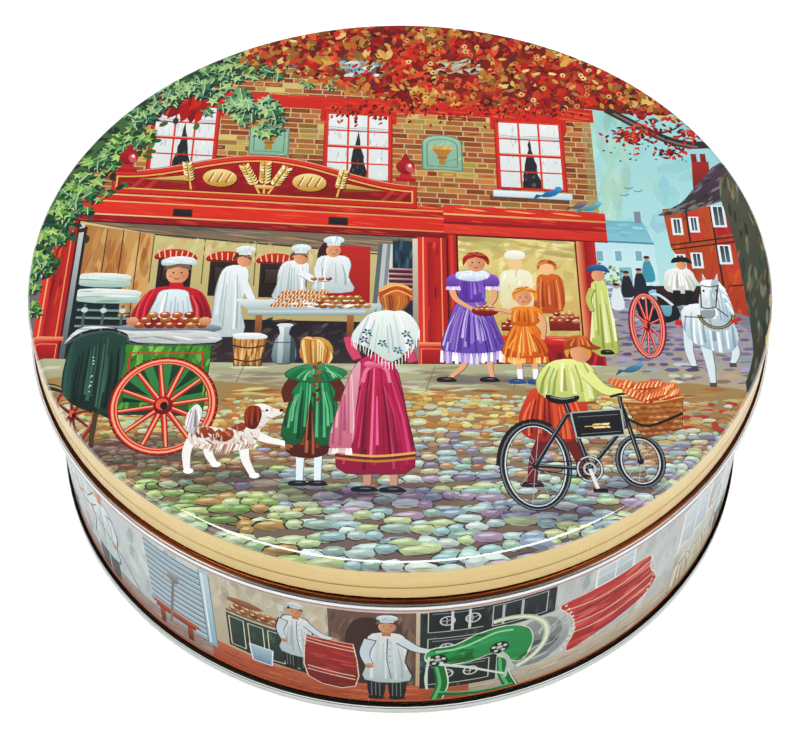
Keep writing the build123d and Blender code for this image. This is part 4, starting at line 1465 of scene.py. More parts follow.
def bicycle(pic):
    """A black delivery bicycle with a plain name board and a bread basket."""
    ink, shine = "1f2126", "8d97a3"
    for x, y, rx, ry in ((33.2, -70, 8.2, 13), (59, -68.6, 5.5, 7.6)):
        for i in range(10):
            a = math.radians(36 * i + 8)
            line(pic, ((x, y), (x + rx * math.cos(a), y + ry * math.sin(a))), 0.12, "c3ccd0")
        for grow, wide, shade in ((0, 1.5, ink), (0.25, 0.4, "77808a"), (-0.75, 0.28, "dfe6e6"),
                                  (-1.1, 0.22, "4a4f57")):
            path = ellipse(x, y, rx + grow, ry + grow, count=34)
            for a, b in zip(path, path[1:] + path[:1]):
                line(pic, (a, b), wide, shade)
        pic.paint(ellipse(x, y, 0.9, 1.1, count=10), "3a3d44", "15161a")
    guard = ellipse(33.2, -70, 9.2, 14.2, count=15, start=60, sweep=120)
    for a, b in zip(guard, guard[1:]):
        line(pic, (a, b), 0.9, ink)
    tubes = (((41.6, -50), (46.4, -71)), ((42, -54), (55.6, -55)), ((46.4, -71), (56.4, -57)),
             ((33.2, -70), (46.4, -71)),
             ((33.2, -70), (41.8, -54)), ((56, -52), (59, -68.6)), ((55.4, -48), (56.4, -58)))
    for a, b in tubes:
        line(pic, (a, b), 1.15, ink)
        line(pic, ((a[0] - 0.15, a[1] + 0.25), (b[0] - 0.15, b[1] + 0.25)), 0.24, shine)
    outlined(pic, ((42.8, -53.4), (55.4, -52.2), (55.8, -60.4), (43.8, -61.4)), "2a2f36", "17191e",
             edge="b9c0b8", width=0.4)
    line(pic, ((44.4, -54.8), (54.6, -53.9)), 0.2, "7f8a8c")
    line(pic, ((45, -60.2), (54.8, -59.3)), 0.2, "7f8a8c")
    wheat_ear(pic, 46, -57.8, 6.4, 4)
    pic.paint(loop((37, -47.4), (41, -48.6), (45, -47.8), (44.6, -49.6), (40.6, -50.6), (37.4, -49.6)),
              "17181c")
    line(pic, ((38, -48.2), (41, -49), (44, -48.4)), 0.3, "9aa3ad")
    for r, wide, shade in ((3, 0.9, "3c4047"), (3, 0.35, "d5dcdc"), (1.4, 0.5, "c4cccc")):
        path = ellipse(46.4, -71, r, r * 1.25, count=18)
        for a, b in zip(path, path[1:] + path[:1]):
            line(pic, (a, b), wide, shade)
    for dy in (-3, 2.6):
        line(pic, ((33.4, -70 + dy * 0.4), (46.4, -71 + dy)), 0.35, "2a2c31")
    line(pic, ((46.4, -71), (48, -77)), 0.9, "e3e8e6")
    pic.paint(rect(46.8, -78.2, 50.4, -77), ink)
    line(pic, ((53, -48.2), (57, -47.2), (61, -48.8)), 0.8, ink)
    # Basket of woven strips, with loaves on top
    basket = outlined(pic, ((56.6, -50), (71.4, -48.6), (70.2, -58.6), (60.4, -61.6)), "c98444", "8a4f24",
                      edge="4a2a18")
    with pic.inside(basket):
        for row in range(7):
            for i in range(9):
                x, y = 56.8 + i * 1.75 + (row % 2) * 0.9, -50.4 - row * 1.7 + i * 0.12
                pic.paint(ellipse(x, y, 0.95, 0.62, 6, 8), pic.vary(("d9985a", "b8702f", "e6b478")),
                          "7a431e")
    line(pic, ((56.4, -55), (62, -57.6), (70.8, -53.6)), 0.8, "2b1d16")
    line(pic, ((56, -50), (64, -50.2), (71.6, -48.4)), 1.3, "a8642f")
    line(pic, ((56, -49.7), (64, -49.9), (71.6, -48.1)), 0.4, "e9bd80")
    for x, y, turn, size in ((57, -44.6, -28, 4.6), (60.4, -45.4, -30, 5), (63, -44.4, 8, 4.6),
                             (66.6, -46, 32, 4.4),
                             (60, -47.8, -30, 4.4), (68.2, -47.4, 25, 3.4), (64.6, -47.6, 20, 4)):
        crust = pic.paint(ellipse(x, y, size, 1.5, turn, 14), "e8824a", "b5432a")
        cos, sin = math.cos(math.radians(turn)), math.sin(math.radians(turn))
        with pic.inside(crust):
            for k in range(-3, 4):
                px, py = x + cos * k * size * 0.24, y + sin * k * size * 0.24
                line(pic, ((px - 0.5, py - 0.9), (px + 0.5, py + 1.1)), 0.5, pic.vary(("f9d9a4", "f2b878")),
                     0.2)


def horse_and_carriage(pic):
    body = pic.paint(loop((62, -13), (65.6, -10), (70, -11), (72.6, -16), (73, -22), (64, -23)), "2f3a48",
                     "1d242e")
    with pic.inside(body):
        pic.paint(loop((66, -12), (69.6, -12), (71.6, -17), (70.6, -21), (67, -18)), "9fd0de", "6fa5b8")
    pic.paint(rect(68, -10, 82, -17), "4a3230", "2c2224")
    line(pic, ((64, -14.6), (68, -13), (72, -17)), 0.8, "d9e4e6")
    driver = pic.paint(loop((72, -4), (77.6, -4), (79, -9), (77, -12.6), (71, -12), (70.4, -8)), "f2f3ee",
                       "cfd2cb")
    folds(pic, driver, 71, 79, -4, -12, ("ffffff", "b5b9b2"), 8, 0.6, 0.8)
    for x in (73.4, 76.6):
        limb(pic, ((x, -11.6), (x - 0.4, -17)), 2, 1.5, "22242b")
    head(pic, 75.6, -2.4, 1.7, "4a3a33", "side")
    pic.paint(loop((73, -1.6), (74, 0.4), (77.4, 0.4), (78.6, -1.8), (75.8, -1.2)), "23252c")
    wheel(pic, 64.6, -24, 4.1, 10.8, 10, "d3323f", "f2a9a0", 1.3, 0.6)
    line(pic, ((72, -23), (76, -24), (79, -26), (80.6, -29)), 1.8, "cf3238", 2.4)
    coat, shade = "f3f8f8", "a9bfcc"
    for points in (((75.4, -24), (74.6, -32), (75.4, -38)), ((79, -30), (79.6, -38), (79.6, -43.6)),
                   ((85, -28), (86.6, -33), (85.4, -37))):
        limb(pic, points, 3.2, 1.4, "dce8ec")
        pic.paint(rect(points[2][0] - 0.9, points[2][1] - 1.4, points[2][0] + 0.9, points[2][1]), "5d5a58")
    barrel = pic.paint(loop((74, -19), (78, -16.4), (84, -18), (87.4, -24), (87.6, -30), (84.6, -33.6),
                            (79, -32), (74.6, -28)), coat, shade)
    folds(pic, barrel, 74, 88, -17, -34, ("ffffff", "93a9b8", "d3e0e5"), 12, 0.9, 0.9, 0.8)
    neck = pic.paint(loop((80.6, -9.6), (84.4, -8), (87, -14), (87.4, -24), (81, -26), (78.8, -18)), coat,
                     "b5c8d2")
    folds(pic, neck, 80, 87, -9, -25, ("ffffff", "9cb2bf"), 8, 0.9, 0.8, 0.8)
    for k in range(7):
        line(pic, ((84.6 + k * 0.3, -8.6 - k * 1.5), (86.6 + k * 0.22, -11.6 - k * 1.6)), 0.9,
             pic.vary(("dfe7ea", "b4c0c6", "f4f8f8")), 0.2)
    for x, lean in ((81.4, -0.5), (84.2, 0.7)):
        pic.paint(((x - 0.7, -8.6), (x + 0.7, -8.6), (x + lean, -5.4)), "e3ecef", "b3c3cb")
    face = pic.paint(loop((80.4, -8.2), (84.6, -8.2), (84.6, -12), (83, -17), (82.8, -20.6), (81, -21.8),
                          (79, -20.8), (79.2, -16), (79.8, -11.6)), "fafcfc", "c2d1d8")
    with pic.inside(face):
        pic.paint(loop((83.2, -8), (85, -8), (84.4, -13), (82.6, -20), (82, -15)), "a9bcc7", alpha=0.8)
        pic.paint(loop((79, -19), (83, -19), (82.6, -22), (79, -22)), "8f9499", alpha=0.7)
        dabs(pic, (79, -20, 84, -9), 10, 2.6, 0.4, ("ffffff", "d3dde2"), 84, 8, 0.7)
    pic.paint(ellipse(80.6, -11.8, 0.32, 0.45, count=7), "23282f")
    pic.paint(ellipse(84, -11.8, 0.25, 0.45, count=7), "23282f")
    for points in (((80, -9.8), (82.4, -10.4), (84.8, -9.8)), ((79.3, -17.6), (81, -18.2), (83, -17.6)),
                   ((79.9, -10), (79.4, -17.6)), ((84.6, -10), (83.2, -17.6)), ((83, -17.6), (86, -21))):
        line(pic, points, 0.36, "54402c")
    collar = ellipse(83, -19.4, 4.6, 5.6, count=16, start=190, sweep=160)
    for a, b in zip(collar, collar[1:]):
        line(pic, (a, b), 1.1, "5d5a3a")
        line(pic, (a, b), 0.3, "b9a86a")
    line(pic, ((74.6, -21), (80, -21.4)), 0.35, "2f2a28")
    line(pic, ((86.6, -23), (89.4, -21.6)), 1.3, "c93a34")


def small_birds(pic):
    """A bluebird on the sill and pigeons on the cornice and the road."""
    for x, y, inks, size in ((41.8, 25.4, ("3f9fd0", "1f6f9c"), 1.0),
                             (49.4, 20.4, ("8f8a9c", "6a6078"), 0.75),
                             (52.8, 19.8, ("7fc3d0", "4f93a5"), 0.9),
                             (59.4, -38.6, ("6fa9c4", "3f6f93"), 0.9)):
        with pic.at(x, y, size):
            pic.paint(loop((-2.6, -1.4), (-0.6, 0.6), (1.8, 1.2), (3, 2), (3.4, 1), (1.6, -1),
                           (-0.6, -1.8)), *inks)
            pic.paint(((-1.8, -1), (-5, -3), (-3.8, -0.6)), inks[1])
            pic.paint(ellipse(2.4, 1.6, 1, 0.9, count=8), inks[0])
            pic.paint(((3.2, 1.8), (4.4, 1.4), (3.2, 1.2)), "d9a04a")


def lid_picture():
    """A village street with a baker's shop, for the lid. Radius includes the rolled edge."""
    pic = Picture(ellipse(0, 0, LID_PRINT_RADIUS, count=360), seed=7)
    sky(pic)
    cottages(pic)
    flying_birds(pic)
    far_street(pic)
    timber_house(pic)
    tree_trunk(pic)
    pic.warp = facade
    brick_wall(pic)
    lintels(pic)
    for x in (-62, -12, 37):
        sash_window(pic, x)
    window_sill(pic, 37)
    plaque(pic, -37.5, 41, arched=False)
    plaque(pic, 12, 38.5, arched=True)
    open_shop(pic)
    shop_window(pic)
    shop_front(pic)
    pediment(pic)
    finial(pic, 1.6, 33, 12)
    shop_uprights(pic)
    pic.warp = None
    pavement(pic)
    cobbles(pic)
    bakers(pic)
    bread_table(pic)
    bucket_and_churn(pic)
    people_behind_glass(pic)
    small_birds(pic)
    woman_in_lime(pic)
    horse_and_carriage(pic)
    lady_in_purple(pic)
    girl_in_orange(pic)
    vendor(pic)
    market_cart(pic)
    dog(pic)
    girl_in_green(pic)
    woman_in_magenta(pic)
    boy(pic)
    bicycle(pic)
    ivy_on_the_left(pic)
    pic.warp = facade
    finial(pic, -77, 31, 12)
    pic.warp = None
    autumn_canopy(pic)
    branch(pic)
    return pic


# ------------------------------------------------ wall picture: the bakehouse

WALL_RADIUS = 98.0          # outside of the tin's printed wall
WALL_LINE = WALL_RADIUS + PRINT_LIFT
HALF_ROUND = math.pi * WALL_LINE
WELD_STRIP = 1.6            # half the width of the bare strip along the weld
PICTURE_BOTTOM = 3.95        # where the picture starts, just above the seam
PICTURE_TOP = 47.3          # the pale margin begins here
MARGIN_TOP = 51.2
COLUMNS = 120               # flat facets round the wall
INK_LINE = "343c40"
GREY = ("c9cdcb", "bcc3c4", "d6d9d5", "b1b9bb", "dfe2de")


def onto_wall(s, z):
    """A point of the wall's picture on the wall: s runs rightwards from the front, z is height."""
    turn = s / WALL_LINE
    normal = (math.sin(turn), -math.cos(turn), 0)
    return (normal[0] * WALL_LINE, normal[1] * WALL_LINE, z), normal


def wall_cuts():
    step = 2 * HALF_ROUND / COLUMNS
    return [((i * step, 0), (i * step, 60)) for i in range(-COLUMNS // 2 + 1, COLUMNS // 2)]


def wall_zone(s, _):
    return math.floor(s * COLUMNS / (2 * HALF_ROUND))


def standing_baker(pic, x, foot, tall, flip=1, coat=0.62, skin=SKIN):
    """A baker in a long coat and a soft cap, with one arm held out, drawn with a dark outline."""
    with pic.at(x, foot, tall / 38, flip):
        for dx in (-2.6, 2.6):
            leg = pic.paint(loop((dx - 2, 12), (dx + 2, 12), (dx + 1.7, 1), (dx - 1.8, 1)), "2d3733",
                            "1a2120")
            with pic.inside(leg):
                for k in range(3):
                    line(pic, ((dx - 1.2 + k, 12), (dx - 1.2 + k, 0)), 0.25, "7d8a82")
            pic.paint(loop((dx - 1.8, 1.4), (dx + 0.6, 1.4), (dx + 2.2, 0.2), (dx - 1.8, -0.1)), "26221f")
        top = 7 + 38 * coat
        pic.paint(loop((-3.6, top + 0.3), (3.6, top + 0.3), (5.5, top - 6), (4.8, 18), (6.1, 8.7),
                       (-5.9, 8.7),
                       (-5, 18), (-5.5, top - 6)), INK_LINE)
        white_coat(pic, 0, 9, 11, 38 * coat - 2)
        line(pic, ((0.3, top - 2), (0.1, top - 12), (1.1, 10)), 0.3, "6a7678")
        for k in range(4):
            pic.paint(ellipse(0.8, top - 4 - k * 3, 0.25, count=6), "7f8a8b")
        line(pic, ((-4, top - 2.6), (-5.5, top - 9), (-4.4, top - 14.3)), 3.5, INK_LINE, 2.5)
        limb(pic, ((-4, top - 3), (-5.4, top - 9), (-4.4, top - 14)), 3, 2.1, "dbe4ea")
        pic.paint(ellipse(-4.3, top - 14.8, 1.1, 1.2, count=8), skin, "b9805c")
        line(pic, ((3.6, top - 3), (7.4, top - 7.1), (11.6, top - 8.5)), 3.5, INK_LINE, 2.3)
        limb(pic, ((3.6, top - 3), (7.4, top - 7), (11.4, top - 8.4)), 3, 1.9, "e3ebf0")
        pic.paint(ellipse(12.2, top - 8.6, 1.2, 1, count=8), skin, "b9805c")
        pic.paint(rect(-1.1, top - 1, 1.1, top + 1.4), "c98f6c")
        head(pic, 0.2, top + 3.2, 2.6, "6b5244", skin=skin)
        hair_cap(pic, 0, top + 3.4, 2.5, "6b5244", 6, low=4)
        baker_hat(pic, 0.2, top + 5, 2.2)


def flagstones(pic, left, right, top, inks, tilt=0.0):
    """A floor of flags in perspective, from the wall's foot down to the seam."""
    floor = pic.paint(((left, top), (right, top + tilt), (right, 4), (left, 4)), inks[0], inks[1])
    with pic.inside(floor):
        dabs(pic, (left, 4, right, top + max(tilt, 0)), int((right - left) * 1.1), 6, 0.7, inks, 2, 8, 0.6)
        for k in range(4):
            y = 4 + (top - 4) * (k / 4) ** 1.3
            line(pic, ((left, y), (right, y + tilt * k / 4)), 0.2, inks[2], alpha=0.7)
        x = left
        while x < right:
            line(pic, ((x, top), (x - (top - 4) * 0.5, 4)), 0.2, inks[2], alpha=0.6)
            x += 9


def plank_shutter(pic, left, right):
    """Blue-white louvres between a post and a wall."""
    pic.paint(rect(left, 12, right, 44), "bccbd2", "a6b7be")
    y = 13.0
    while y < 43:
        pic.paint(rect(left, y, right, y + 1.5), "dae4e8", "a6b9c4")
        pic.paint(rect(left, y + 1.5, right, y + 2.1), "6d8490")
        y += 2.6
    outlined(pic, rect(right - 0.2, 11, right + 2.8, 45.4), "d3e6ef", "9fbccc", edge="7d97a5", width=0.3)
    line(pic, ((right + 0.7, 12), (right + 0.7, 45)), 0.5, "f4fafc")
    pic.paint(ellipse(right + 1.3, 45.6, 1.7, 1, count=9), "c3d9e4")


def stool(pic, x, foot, ink="b9532f"):
    pic.paint(loop((x - 7, foot + 9.6), (x + 7, foot + 9.6), (x + 7.4, foot + 8), (x - 7.4, foot + 8)),
              blend(ink, "f0c9a0", 0.4), ink)
    pic.paint(rect(x - 7, foot + 6.4, x + 7, foot + 8.2), ink, blend(ink, "3a1a14", 0.5))
    for dx in (-5.8, 4):
        pic.paint(((x + dx, foot + 6.6), (x + dx + 2, foot + 6.6), (x + dx + 1.6, foot),
                   (x + dx - 0.2, foot)), ink, blend(ink, "3a1a14", 0.6))


def cabinet(pic, left, right, bottom, top, ink, trim="efe6cc", panels=2, slope=0.0):
    """A painted cupboard with lined-out panels."""
    dark = blend(ink, "101010", 0.45)
    box = outlined(pic, ((left, bottom), (right, bottom - slope), (right, top - slope * 0.3), (left, top)),
                   ink, dark, edge=dark)
    with pic.inside(box):
        dabs(pic, (left, bottom - slope, right, top), 24, 5, 0.9, (ink, blend(ink, "ffffff", 0.15), dark),
             85, 12, 0.6)
    for i in range(panels):
        x0 = left + (right - left) * (i + 0.12) / panels
        x1 = left + (right - left) * (i + 0.88) / panels
        drop = slope * (i + 0.5) / panels
        corners = ((x0, bottom + 1.2 - drop), (x1, bottom + 1.2 - drop), (x1, top - 1.2 - drop * 0.3),
                   (x0, top - 1.2 - drop * 0.3))
        for a, b in zip(corners, corners[1:] + corners[:1]):
            line(pic, (a, b), 0.28, trim)


def lined_counter(pic, left, right, bottom, top, ink):
    """A rounded counter front with cream lining across it."""
    shape = outlined(pic, loop((left, bottom), (left, top - 1), (left + 1.6, top), (right - 2, top - 1),
                               (right, top - 3), (right, bottom - 1.6)), ink, blend(ink, "401014", 0.5),
                     edge="f2e6d0", width=0.3)
    with pic.inside(shape):
        dabs(pic, (left, bottom - 2, right, top), 30, 6, 1,
             (ink, blend(ink, "ff9080", 0.3), blend(ink, "400a10", 0.3)), -6, 8, 0.7)
        for k in (0.16, 0.24, 0.84, 0.92):
            y = bottom + (top - bottom) * k
            line(pic, ((left, y + 0.6), (right, y - 1.4)), 0.35, "f0dfc8")


def brick_oven(pic, x, wide=26):
    """A dark iron oven front with doors, cream lining and hand wheels."""
    left, right = x - wide / 2, x + wide / 2
    iron = pic.paint(rect(left, 11, right, 47), "34484a", "22302f")
    with pic.inside(iron):
        dabs(pic, (left, 11, right, 47), 60, 5, 1.2, ("48605e", "283836", "5c7472", "1c2a28"), 88, 20, 0.7)
    for y in (13, 25.5, 38):
        outlined(pic, rect(left + 2, y, right - 2, y + 9.5), "2a3c3c", "1c2a2a", edge="dfdcc4", width=0.25)
        for dx in (-3.2, 3.2):
            ring = ellipse(x + dx, y + 4.8, 1.8, 2, count=14)
            for a, b in zip(ring, ring[1:] + ring[:1]):
                line(pic, (a, b), 0.45, "dfe3dc")
            for k in range(4):
                line(pic, ((x + dx, y + 4.8), ring[k * 3 + 1]), 0.3, "c3c9c6")
        line(pic, ((left + 3, y + 8.3), (right - 3, y + 8.3)), 0.4, "8f999c")


def dough_mixer(pic, x, foot):
    """A green cast mixer on two legs, with a round head lined in cream."""
    with pic.at(x, foot):
        for points in (((-12, 17), (-11, 8), (-12.6, 0)), ((4.6, 17), (5.4, 8), (8.4, -1))):
            line(pic, points, 3, "14803f", 4)
            line(pic, [(px - 0.7, py) for px, py in points], 0.8, "6cc384", 1)
            line(pic, [(px + 1.5, py) for px, py in points], 0.35, "e9efd8")
        line(pic, ((-12, 3.6), (-2, 1.6), (8, 1.2)), 2, "1f7a45")
        line(pic, ((-12, 4.2), (-2, 2.2), (8, 1.9)), 0.4, "8fd69c")
        body = outlined(pic, loop((-15.4, 20), (-14.4, 25.4), (-8, 26.6), (-2.6, 30), (4.6, 31.4),
                                  (11, 27.6), (12.6, 20), (10, 12.6),
                                  (5.6, 15.4), (2, 19.6), (-4, 17.6), (-11, 17.4)), "1fa050", "0f6636",
                        edge="eef0dc", width=0.5)
        with pic.inside(body):
            dabs(pic, (-15, 12, 13, 31), 60, 7, 1.6, ("2fb060", "12783c", "4cc47a", "0c6a34"), 15, 30, 0.75)
            pic.paint(ellipse(5, 22, 8.4, 9.4, -20), "3aa765", alpha=0.7)
            line(pic, ((-13, 24), (-6, 25), (2, 29), (7, 28.6)), 0.9, "a8e0b0")
        rim = ellipse(4.6, 22, 12, 12.6, count=30, start=-70, sweep=175)
        for a, b in zip(rim, rim[1:]):
            line(pic, (a, b), 1.9, "cfd6b8")
            line(pic, (a, b), 0.8, "f3f4e2")
        for cx, cy in ((-12.4, 20), (3.6, 21.6)):
            pic.paint(ellipse(cx, cy, 2.6, 2.8), "1d2a24")
            for k in range(5):
                a = math.radians(72 * k + 20)
                pic.paint(ellipse(cx + 1.6 * math.cos(a), cy + 1.7 * math.sin(a), 0.6, count=7), "d9ded2")
            pic.paint(ellipse(cx, cy, 0.9, count=9), "e9ece2", "8a9488")
        line(pic, ((-12, 18), (-4, 14.6), (5.6, 8)), 1.3, "e3e6dc", 0.7)
        line(pic, ((4, 19), (6.4, 14), (5.6, 6)), 1.5, "c9cfc8", 0.8)
        line(pic, ((-14.6, 22), (-15.4, 12), (-15, 6)), 0.7, "dfe3dc")


def riveted_drum(pic, left, right, bottom, top):
    """A large red drum with rivets and cream lining, and its grey trough."""
    trough = pic.paint(loop((left - 13, bottom + 2), (left - 12, top - 6), (left - 6, top - 1.6),
                            (left + 1, top - 4), (left + 3, bottom + 4), (left - 3, bottom - 3),
                            (left - 10, bottom - 3)), "d5d8d2", "8d9494")
    with pic.inside(trough):
        pic.paint(ellipse(left - 6, bottom + 9, 7, 9), "aab0ae", "6f7776")
        pic.paint(((left - 12, bottom + 9), (left, bottom + 6), (left, bottom + 4),
                   (left - 12, bottom + 6.6)), "5a6162")
        dabs(pic, (left - 13, bottom - 3, left + 3, top - 2), 26, 5, 1, ("e6e8e2", "a9afad", "c3c8c3"), 40,
             40, 0.6)
    drum = outlined(pic, loop((left, top), (left + 15, top + 0.8), (right - 3, top + 0.4),
                              (right - 2, top - 6), (right + 1.6, bottom + 6),
                              (right - 3, bottom + 1), (left + 12, bottom - 2), (left + 3, bottom - 4),
                              (left + 5, bottom + 6), (left + 3, bottom + 14)),
                    "cf3d3a", "a82c2f", edge="f2e2cf", width=0.4)
    with pic.inside(drum):
        dabs(pic, (left, bottom - 4, right + 2, top), 90, 8, 1.7, ("dd5a50", "b9302f", "e8837a", "c23f3c"),
             3, 12, 0.7)
        for k in (0.2, 0.42, 0.8):
            y = bottom + (top - bottom) * k
            line(pic, ((left, y + 1), (left + 14, y - 0.6), (right, y + 1.4)), 0.4, "f3ddc6")
        line(pic, ((left, top - 7), (right, top - 6.4)), 1.5, "8f2427", alpha=0.7)
    for k in range(11):
        t = k / 10
        pic.paint(ellipse(left + 1.4 + 3 * math.sin(t * 3.1), top - 1 - t * (top - bottom + 1), 0.45,
                          count=6), "f4ead8")
        pic.paint(ellipse(right - 2 + 2.4 * math.sin(t * 3.1), top - 1 - t * (top - bottom - 2), 0.4,
                          count=6), "f4ead8")


def pale_window(pic, x, y, wide, tall):
    outlined(pic, rect(x, y, x + wide, y + tall), "dfe8ea", "bcc9ce", edge="f6f8f6", width=0.7)
    line(pic, ((x + wide / 2, y), (x + wide / 2, y + tall)), 0.4, "f6f8f6")
    line(pic, ((x, y + tall * 0.55), (x + wide, y + tall * 0.55)), 0.4, "f6f8f6")


def shelf_of_bread(pic, left, right, y, rows=1):
    for row in range(rows):
        z = y + row * 7
        buns(pic, (left + right) / 2, z + 1.6, right - left - 2, 2, 1.5,
             ("c98f58", "b5713c", "dcae74", "a8622f"))
        pic.paint(rect(left, z - 0.6, right, z + 0.5), "a8855c", "6f5238")


def sacks(pic, x, foot, count):
    for i in range(count):
        px = x + i * 9 - count * 4.5
        sack = outlined(pic, loop((px - 4.6, foot), (px - 5, foot + 7), (px - 3, foot + 12),
                                  (px, foot + 13), (px + 3, foot + 12),
                                  (px + 5, foot + 7), (px + 4.6, foot)), "e6dfc9", "b5a98c", edge="8a7d62")
        folds(pic, sack, px - 5, px + 5, foot + 12, foot, ("f4efe0", "a89b7c", "cfc4a6"), 8, 0.5, 1.0)
        line(pic, ((px - 2.4, foot + 11.4), (px + 2.4, foot + 11.4)), 0.5, "7a5c3a")


def work_table(pic, left, right, foot, ink="c9c3b4"):
    pic.paint(((left, foot + 13), (right, foot + 13), (right + 2, foot + 10.6), (left - 2, foot + 10.6)),
              "eceae2", ink)
    for x in (left + 1, right - 2.4):
        pic.paint(rect(x, foot, x + 1.8, foot + 10.6), ink, blend(ink, "50483c", 0.5))
    for k in range(int((right - left) / 7)):
        blob(pic, left + 4 + k * 7, foot + 13.4, 2.2, 1.2, "f6f1e2", "cfc2a4")


def side_bay(pic, x, kind):
    """A stretch of bakehouse about 62 mm long, for the sides and the back."""
    with pic.at(x, 0):
        if kind == "ovens":
            for dx in (-15, 14):
                brick_oven(pic, dx, 25)
            standing_baker(pic, -1, 7, 34, flip=-1)
            sacks(pic, 26, 8, 1)
        elif kind == "shelves":
            cabinet(pic, -26, 10, 12, 29, "3f6a5c", panels=3)
            shelf_of_bread(pic, -25, 9, 31, 2)
            standing_baker(pic, 17, 7, 33, flip=-1)
            stool(pic, -8, 6, "a8603a")
        else:
            pale_window(pic, -24, 24, 13, 18)
            pale_window(pic, -6, 24, 13, 18)
            work_table(pic, -26, 8, 8)
            standing_baker(pic, 18, 7, 33)
            sacks(pic, -16, 6, 2)
            lined_counter(pic, 24, 33, 11, 30, "b5353a")


def bakehouse_front(pic):
    """The part of the wall's picture that faces the front of the lid's picture."""
    pic.paint(rect(-135, 11, -50, 47.6), "dfe3e2", "c3cccf")
    dabs(pic, (-135, 14, -50, 47), 160, 9, 3, GREY, 80, 30, 0.5)
    for x in (-126, -110):
        pale_window(pic, x, 26, 10, 16)
    work_table(pic, -122, -102, 10)
    pic.paint(rect(-50.6, 12, -12, 47.6), "d8d0bb", "c2b79c")
    dabs(pic, (-50, 30, -12, 47), 60, 8, 2.4, ("e3dcc9", "c9bfa5", "d9cdb4", "bfb59c"), 80, 25, 0.5)
    pic.paint(rect(-18, 12, 4, 47.6), "8a6a5c", "6c5048")
    dabs(pic, (-18, 12, 4, 47), 60, 8, 1.6, ("8f7868", "77604f", "9c8474", "64504a"), 85, 10, 0.7)
    pic.paint(loop((-12, 14), (-14, 30), (-12.6, 41), (-8.6, 45), (-5, 41), (-4.6, 14)), "4a302c",
              alpha=0.85)
    pic.paint(rect(4, 12, 8, 47.6), "e3d2bc", "c9b294")
    pic.paint(rect(33, 11, 140, 47.6), "d6d9d7", "c3c6c2")
    dabs(pic, (36, 13, 140, 47), 200, 10, 3, GREY, 75, 35, 0.55)
    # Floor: terracotta on the left, pale flags on the right
    flagstones(pic, -135, -52, 12.4, ("b9a79c", "9a7f74", "8a7168", "cbbcb0"))
    flagstones(pic, -52, 20, 15, ("cf7650", "b35a3c", "9a4c36", "de9068"), -3)
    flagstones(pic, 18, 140, 13, ("d5cab6", "b9ab95", "a39682", "e3dac8"), 1)
    # Left: shutters, figures and stool
    plank_shutter(pic, -72, -53)
    standing_baker(pic, -92, 7, 39, flip=-1)
    line(pic, ((-76, 8), (-84, 22), (-100, 30)), 0.9, "a8a29a")
    standing_baker(pic, -118, 7, 36)
    stool(pic, -64, 7)
    line(pic, ((-66, 10), (-63.6, 26), (-62.4, 34)), 0.9, "8f8a84")
    pic.paint(ellipse(-62.4, 34, 2, 2.4), "b9b4ac", "8a857e")
    # Middle: bread shelf, cupboards, two bakers, counter
    cabinet(pic, -46, -24, 16, 31.6, "3c5a4c", panels=4, slope=2)
    shelf_of_bread(pic, -46, -27, 33)
    blob(pic, -40, 38.6, 5, 1.7, "b5825a", "8f5f3c")
    pic.paint(rect(-30.8, 41, -29.4, 44), "dfe3e2")
    standing_baker(pic, -26.4, 15, 31)
    outlined(pic, ((-40, 20.6), (-33.4, 20.6), (-34, 13), (-39.4, 13)), "bcd3dc", "7fa0b3", edge="eef3f4",
             width=0.4)
    lined_counter(pic, -24, -11.6, 13, 33, "c23f36")
    brick_oven(pic, 15, 20)
    for x, y in ((13, 43.6), (17.4, 43.6), (13, 40.4), (17.4, 40.4)):
        line(pic, ((x, y - 2), (x, y + 3.4)), 0.7, "e3e6e2")
    standing_baker(pic, -3.4, 6, 39.5)
    # Right: mixer, drum and pale buildings
    cabinet(pic, 21, 40, 36, 47.6, "3d474e", trim="cdd2cc", panels=1)
    for x in (26, 31):
        line(pic, ((x, 37), (x, 46)), 0.7, "c9ceca")
    pale_window(pic, 52, 38, 12, 8)
    pale_window(pic, 84, 24, 14, 18)
    work_table(pic, 82, 106, 12)
    riveted_drum(pic, 42, 73, 17, 37)
    dough_mixer(pic, 22, 4.6)
    standing_baker(pic, 112, 7, 37, flip=-1)
    sacks(pic, 96, 6, 2)
    pic.paint(rect(126, 11, 140, 42), "c3ccd0", "aab5bb")


def wall_picture():
    """Inside a bakehouse, all the way round the tin, under a pale margin."""
    edge = HALF_ROUND - WELD_STRIP
    pic = Picture(rect(-edge, PICTURE_BOTTOM, edge, MARGIN_TOP), seed=11)
    pic.paint(rect(-edge, 11, edge, PICTURE_TOP + 1), "dcdcd4", "c6cac8")
    dabs(pic, (-edge, 12, edge, 47), 420, 10, 3, GREY + ("dcd2bc", "cfc8b4"), 80, 30, 0.5)
    for left, right in ((-edge, -135), (135, edge)):
        flagstones(pic, left, right, 12.6, ("c2795a", "a8624a", "8f5544", "cf9578"))
    for i, kind in enumerate(("ovens", "shelves", "windows")):
        side_bay(pic, -edge + 30 + i * 56, kind)
        side_bay(pic, edge - 32 - i * 56, ("windows", "ovens", "shelves")[i])
    bakehouse_front(pic)
    # Frame: a dark line low down that is painted shade over the seam, an orange line over it, and the
    # margin with its stripe
    pic.paint(rect(-edge, 3.9, edge, 4.5), "2a120c", "120a08")
    pic.paint(rect(-edge, 4.5, edge, 5.3), "dd7a44", "c25a28")
    pic.paint(rect(-edge, PICTURE_TOP, edge, MARGIN_TOP + 1), "f4f3ee", "e9e6df")
    pic.paint(rect(-edge, PICTURE_TOP + 0.9, edge, PICTURE_TOP + 1.6), "c79a8c", "b98a7c")
    return pic


# --------------------------------------------------------------- materials

